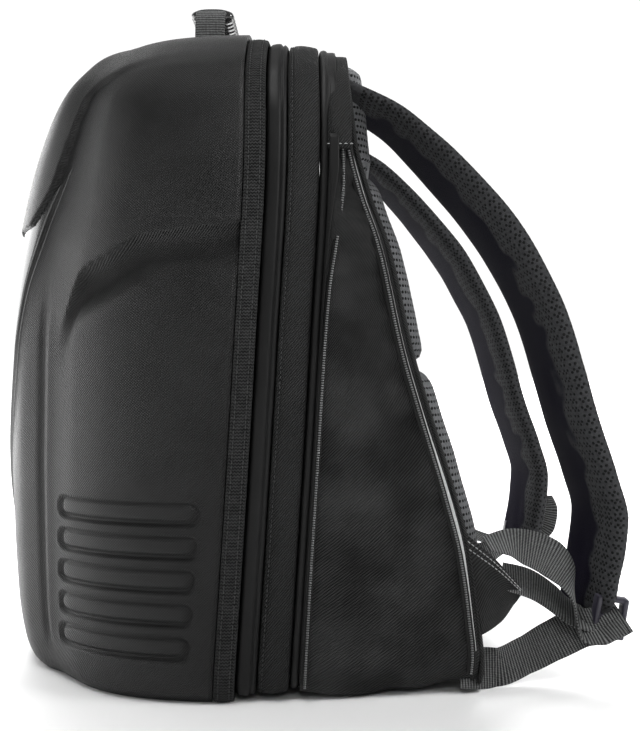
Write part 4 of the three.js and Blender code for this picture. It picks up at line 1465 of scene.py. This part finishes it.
def make_lock(hand, side):
    """Ladder adjuster: two rails and three bars, melted into one moulded frame."""
    middle, along = strap_end(side)
    across = np.array([along[1], -along[0]])
    w, h, t, bar = lock_width / 2, lock_height, lock_thick / 2, lock_bar
    parts = [
        ((-w, 0, -t), (-w + bar, h, t)),
        ((w - bar, 0, -t), (w, h, t)),
        ((-w, 0, -t * 0.8), (w, bar, t * 0.8)),
        ((-w, h / 2 - bar / 2, -t * 0.55), (w, h / 2 + bar / 2, t * 0.75)),
        ((-w * 1.04, h - bar * 1.15, -t), (w * 1.04, h, t)),
    ]
    work = bmesh.new()
    for low, high in parts:
        block = grid_mesh("block", rounded_block(low, high, 1.9 * MM), wrap_columns=True, caps=True)
        work.from_mesh(block.data)
        bpy.data.objects.remove(block)
    for vert in work.verts:
        u, v, y = vert.co
        flat = middle + across * u + along * (v + clear)
        vert.co = (flat[0], side * lock_y + y, flat[1])
    mesh = bpy.data.meshes.new("lock")
    work.to_mesh(mesh)
    work.free()
    obj = add_object(f"adjuster_{hand}", mesh)
    melt = obj.modifiers.new("melt", "REMESH")
    melt.mode = "VOXEL"
    melt.voxel_size = 0.55 * MM
    melt.use_smooth_shade = True
    soften = obj.modifiers.new("soften", "SMOOTH")
    soften.iterations = 6
    graph = bpy.context.evaluated_depsgraph_get()
    made = bpy.data.meshes.new_from_object(obj.evaluated_get(graph), depsgraph=graph)
    obj.modifiers.clear()
    obj.data = made
    tidy(obj)
    return finished(obj, [f"ladder_lock_{hand}"], moulded_look)


# Webbing routes in millimetres: X and Z as seen from the side, how far off the adjuster's middle to the
# outside, and the share of the width that faces the side, which wide_weight turns into a length
Web = namedtuple("Web", "x z out wide")
wide_weight = 30 * MM
near_routes = {
    "lower_webbing": [
        Web(114, 15, 20, 0.75), Web(142, 14, 16, 1.0), Web(165, 19.5, 8, 1.0), Web(187, 28, 2, 0.97),
        Web(206, 36.5, 1, 0.8), Web(219, 40, 5, 0.7), Web(229, 44, 6.5, 0.62), Web(237, 47, 6, 0.5),
    ],
    "tail_webbing": [
        Web(137, 100, 6, 0.12), Web(151, 101, 6, 0.45), Web(168, 97, 6, 0.85), Web(184, 89.5, 6, 0.95),
        Web(196, 76.5, 6, 0.7), Web(201, 59.5, 6, 0.3), Web(202.5, 45, 6, 0.24), Web(207.5, 36, 6, 0.3),
        Web(217, 36.5, 8, 0.32), Web(225, 41, 8, 0.36), Web(233, 45, 8, 0.4),
    ],
    "tab_webbing": [
        Web(150, 76, 4, 0.5), Web(171, 68.5, -2, 0.58), Web(188, 57.5, -4, 0.56), Web(198, 49, -4, 0.5),
        Web(212, 42, -4, 0.4), Web(223, 40.5, -4, 0.36),
    ],
}
far_routes = dict(near_routes)
far_routes["tail_webbing"] = [
    Web(247, 88, 4, 0.7), Web(251, 74, 4, 0.85), Web(249, 60, 4, 0.8), Web(243, 50, 4, 0.5),
    Web(236, 44, 4, 0.4),
]
far_routes["tab_webbing"] = [
    Web(165, 52, 8, 0.5), Web(188, 45, 0, 0.5), Web(205, 42, -4, 0.45), Web(223, 40.5, -4, 0.36),
]


def ribbed_band(name, line, width_way, wide, thick, nodes, material):
    """Flat webbing along a dense line: its width runs one way and its ribs lie across it."""
    along = unit(np.gradient(line, axis=0))
    face = unit(np.cross(along, width_way))
    length = run_lengths(line)
    rib = np.sin(length * 2 * math.pi / rib_pitch) * rib_height
    columns = []
    for a in round_angles(22):
        across = boxed(math.cos(a), 0.3)
        lift = boxed(math.sin(a), 0.7)
        edge = 1 - abs(across) ** 6
        columns.append(line + width_way * (wide / 2 * across)[:, None]
                       + face * (lift * (thick / 2 + rib * edge))[:, None])
    obj = tidy(grid_mesh(name, np.array(columns).transpose(1, 0, 2), wrap_columns=True, caps=True))
    return finished(obj, nodes, material)


def make_webbing(name, rows, hand, side):
    """Webbing along a route, twisted so that it shows the share of its width that its table gives."""
    table = np.array([
        [row.x * MM + shift_x, side * (lock_y + row.out * MM), row.z * MM, row.wide * wide_weight]
        for row in rows
    ])
    rough = smooth_path(table)(np.linspace(0, 1, 400))
    length = run_lengths(rough[:, :3])
    even = np.arange(0, length[-1], rib_pitch / 4)
    rough = np.stack([np.interp(even, length, rough[:, k]) for k in range(4)], axis=-1)
    line, share = rough[:, :3], np.clip(rough[:, 3] / wide_weight, 0.08, 1)
    along = unit(np.gradient(line, axis=0))
    level = unit(np.stack([-along[:, 2], 0 * along[:, 0], along[:, 0]], axis=-1))
    lean = np.sqrt(1 - share ** 2)
    way = level * share[:, None] + np.array([0, -side, 0]) * lean[:, None]
    return ribbed_band(f"{name}_band_{hand}", line, unit(way), np.full(len(line), web_width), web_thick,
                       [f"{name}_{hand}"], web_look)


# Upper and lower edge of the wing tab, from the board out to its blunt tip, as seen from the side
Corner = namedtuple("Corner", "x z")
tab_upper = [Corner(117.5, 113), Corner(141, 92), Corner(164, 66)]
tab_lower = [Corner(129, 41), Corner(145, 47), Corner(158, 57)]
tab_steps = 60
tab_half = 1.3 * MM
tab_seams = (0.93, 0.85)


def make_wing_tab(hand, side):
    """Triangular tab: rows run from the board's edge out to the blunt tip, with two pale seams."""
    reach = np.linspace(0, 1, tab_steps)
    upper, lower = [smooth_path([(c.x, c.z) for c in edge])(reach) for edge in (tab_upper, tab_lower)]
    y = side * (back_width / 2 - 1.5 * MM - 20 * MM * reach ** 1.3)

    def spot(k, t, off):
        flat = lower[k] + (upper[k] - lower[k]) * t
        return (flat[0] * MM + shift_x, y[k] + side * off, flat[1] * MM)

    def crumpled(points):
        points[..., 1] += ripple(points, 18 * MM, 5 + side) * 1.4 * MM
        return points

    angles = round_angles(40)
    section = [(0.5 + 0.5 * boxed(math.cos(a), 0.35), tab_half * boxed(math.sin(a), 0.7)) for a in angles]
    grid = crumpled(np.array([[spot(k, t, off) for t, off in section] for k in range(tab_steps)]))
    obj = tidy(grid_mesh(f"wing_tab_cloth_{hand}", grid, wrap_columns=True, caps=True))
    finished(obj, [f"wing_tab_{hand}"], gusset_look)
    stitch = stitch_item(2.6 * MM, 0.42 * MM)
    for number, share in enumerate(tab_seams):
        seam = crumpled(np.array([spot(k, share, tab_half + 0.2 * MM) for k in range(2, tab_steps - 4)]))
        outward = [[0, side, 0]] * len(seam)
        row = set_along(f"wing_tab_seam_{number}_{hand}", seam, outward, stitch, pale_thread, 3.6 * MM)
        finished(row)
    bpy.data.objects.remove(stitch)


# Sizes of the carry handle
handle_x = -77 * MM + shift_x
handle_span = 96 * MM
handle_rise = 36 * MM
handle_width = 25 * MM
handle_thick = 3.2 * MM
grip_length = 62 * MM
grip_width = 36 * MM
grip_thick = 11 * MM
flute_depth = 0.35 * MM
flute_count = 9


def make_handle():
    """Webbing arch with feet that lie flat on the crown and a moulded grip round its span."""
    half, thick = handle_span / 2, handle_thick
    foot = shell_height + clear + thick / 2
    near = [(-half - 5 * MM, 0), (-half + thick * 0.8, 0.2 * MM), (-half + thick * 1.5, handle_rise * 0.25),
            (-half + thick * 2.2, handle_rise * 0.75), (-half + thick * 4.4, handle_rise), (0, handle_rise)]
    path = [(0, y, z) for y, z in near] + [(0, -y, z) for y, z in reversed(near[:-1])]
    rough = smooth_path(path)(np.linspace(0, 1, 700))
    length = run_lengths(rough)
    even = np.arange(0, length[-1], rib_pitch / 5)
    line = np.stack([np.interp(even, length, rough[:, k]) for k in range(3)], axis=-1)
    line += np.array([handle_x, 0, foot])
    way = np.tile([1.0, 0, 0], (len(line), 1))
    ribbed_band("handle_webbing", line, way, np.full(len(line), handle_width), thick,
                ["carry_handle"], web_look)
    rows = []
    for share in np.linspace(0, 1, 46):
        end = min(share, 1 - share) * grip_length
        size = 1 - 0.16 * (1 - smooth_step(end, 0, 3.2 * MM))
        flute = flute_depth * math.cos(share * 2 * math.pi * flute_count) * (end > 5 * MM)
        ring = []
        for a in round_angles(36):
            x = (grip_width / 2 * size + flute) * boxed(math.cos(a), 0.75)
            z = (grip_thick / 2 * size + flute * 0.5) * boxed(math.sin(a), 0.8)
            ring.append((handle_x + x, (share - 0.5) * grip_length, foot + handle_rise + z))
        rows.append(ring)
    obj = tidy(grid_mesh("handle_grip_sleeve", np.array(rows), wrap_columns=True, caps=True))
    finished(obj, ["handle_grip"], grip_look)


# Studio lights: place, target, size in metres, watts, and whether gloss shows them
Light = namedtuple("Light", "name place target size power mirrored")
lights = [
    Light("overhead_softbox", (-0.3, -0.55, 1.5), (-0.05, 0, 0.3), 0.6, 11, True),
    Light("front_softbox", (0.1, -1.5, 1.35), (0, 0, 0.3), 0.4, 3, True),
    Light("side_softbox", (-1.45, -0.65, 0.4), (-0.1, 0, 0.25), 0.45, 2, True),
    Light("nose_softbox", (-1.3, 0.5, 0.35), (-0.15, 0, 0.22), 1.4, 27, True),
    Light("rear_softbox", (1.2, -0.42, 0.95), (0.15, 0, 0.2), 0.4, 11, True),
    Light("backdrop_light", (0, 3.4, 3.0), (0, 3.2, 0), 4.0, 700, False),
]
floor_reach = 6.0
floor_z = -0.5 * MM


def add_studio():
    """Pale floor and soft lights."""
    floor = bpy.data.meshes.new("studio_floor")
    corners = [(x * floor_reach, y * floor_reach, floor_z) for x, y in ((-1, -1), (1, -1), (1, 1), (-1, 1))]
    floor.from_pydata(corners, [], [(0, 1, 2, 3)])
    obj = add_object("studio_floor", floor)
    paint = Finish("pale floor", (0.85, 0.85, 0.85), 0.6, Specular_IOR_Level=0.2)
    obj.data.materials.append(paint.material)
    add_world()
    for light in lights:
        lamp = bpy.data.objects.new(light.name, bpy.data.lights.new(light.name, "AREA"))
        lamp.data.size = light.size
        lamp.data.energy = light.power
        lamp.location = light.place
        aim = Vector(light.target) - Vector(light.place)
        lamp.rotation_euler = aim.to_track_quat("-Z", "Y").to_euler()
        lamp.visible_glossy = light.mirrored
        bpy.context.scene.collection.objects.link(lamp)


def add_world():
    """Soft studio: white behind the pack, fading to dim grey overhead and on the camera's side."""
    grey_side, white_side = (0.07, 0.07, 0.07), (1.0, 1.0, 1.0)
    world = bpy.data.worlds.new("studio")
    world.use_nodes = True
    tree = world.node_tree
    where = tree.nodes.new("ShaderNodeTexCoord")
    parts = tree.nodes.new("ShaderNodeSeparateXYZ")
    ramp = tree.nodes.new("ShaderNodeValToRGB")
    ramp.color_ramp.interpolation = "EASE"
    stops = ramp.color_ramp.elements
    stops[0].position, stops[0].color = 0.6, (*grey_side, 1)
    stops[1].position, stops[1].color = 0.9, (*white_side, 1)
    half = tree.nodes.new("ShaderNodeMath")
    half.operation = "MULTIPLY_ADD"
    half.inputs[1].default_value = 0.5
    half.inputs[2].default_value = 0.5
    tree.links.new(where.outputs["Generated"], parts.inputs[0])
    tree.links.new(parts.outputs["Y"], half.inputs[0])
    tree.links.new(half.outputs[0], ramp.inputs[0])
    tree.links.new(ramp.outputs[0], tree.nodes["Background"].inputs["Color"])
    tree.nodes["Background"].inputs["Strength"].default_value = 1.05
    bpy.context.scene.world = world
    bpy.context.scene.view_settings.view_transform = "Standard"


def add_camera():
    """Camera at the photograph's angle: it looks along +Y from beside the pack."""
    image_height = 731
    focal_pixels = 745
    axis_row = 350
    camera = bpy.data.cameras.new("camera")
    camera.sensor_width = 36
    camera.lens = 36 * focal_pixels / image_height
    camera.shift_y = (axis_row - image_height / 2) / image_height
    obj = bpy.data.objects.new("camera", camera)
    obj.location = (15 * MM + shift_x, -666 * MM, 242 * MM)
    obj.rotation_euler = (math.pi / 2, 0, 0)
    bpy.context.scene.collection.objects.link(obj)
    bpy.context.scene.camera = obj


add_camera()
add_studio()
make_shell()
make_front_panel()
make_rings()
make_gusset()
make_zips()
make_back_panel()
make_pads()
make_straps()
for hand, side in SIDES:
    make_lock(hand, side)
    make_wing_tab(hand, side)
    for name, rows in (near_routes if side < 0 else far_routes).items():
        make_webbing(name, rows, hand, side)
make_handle()
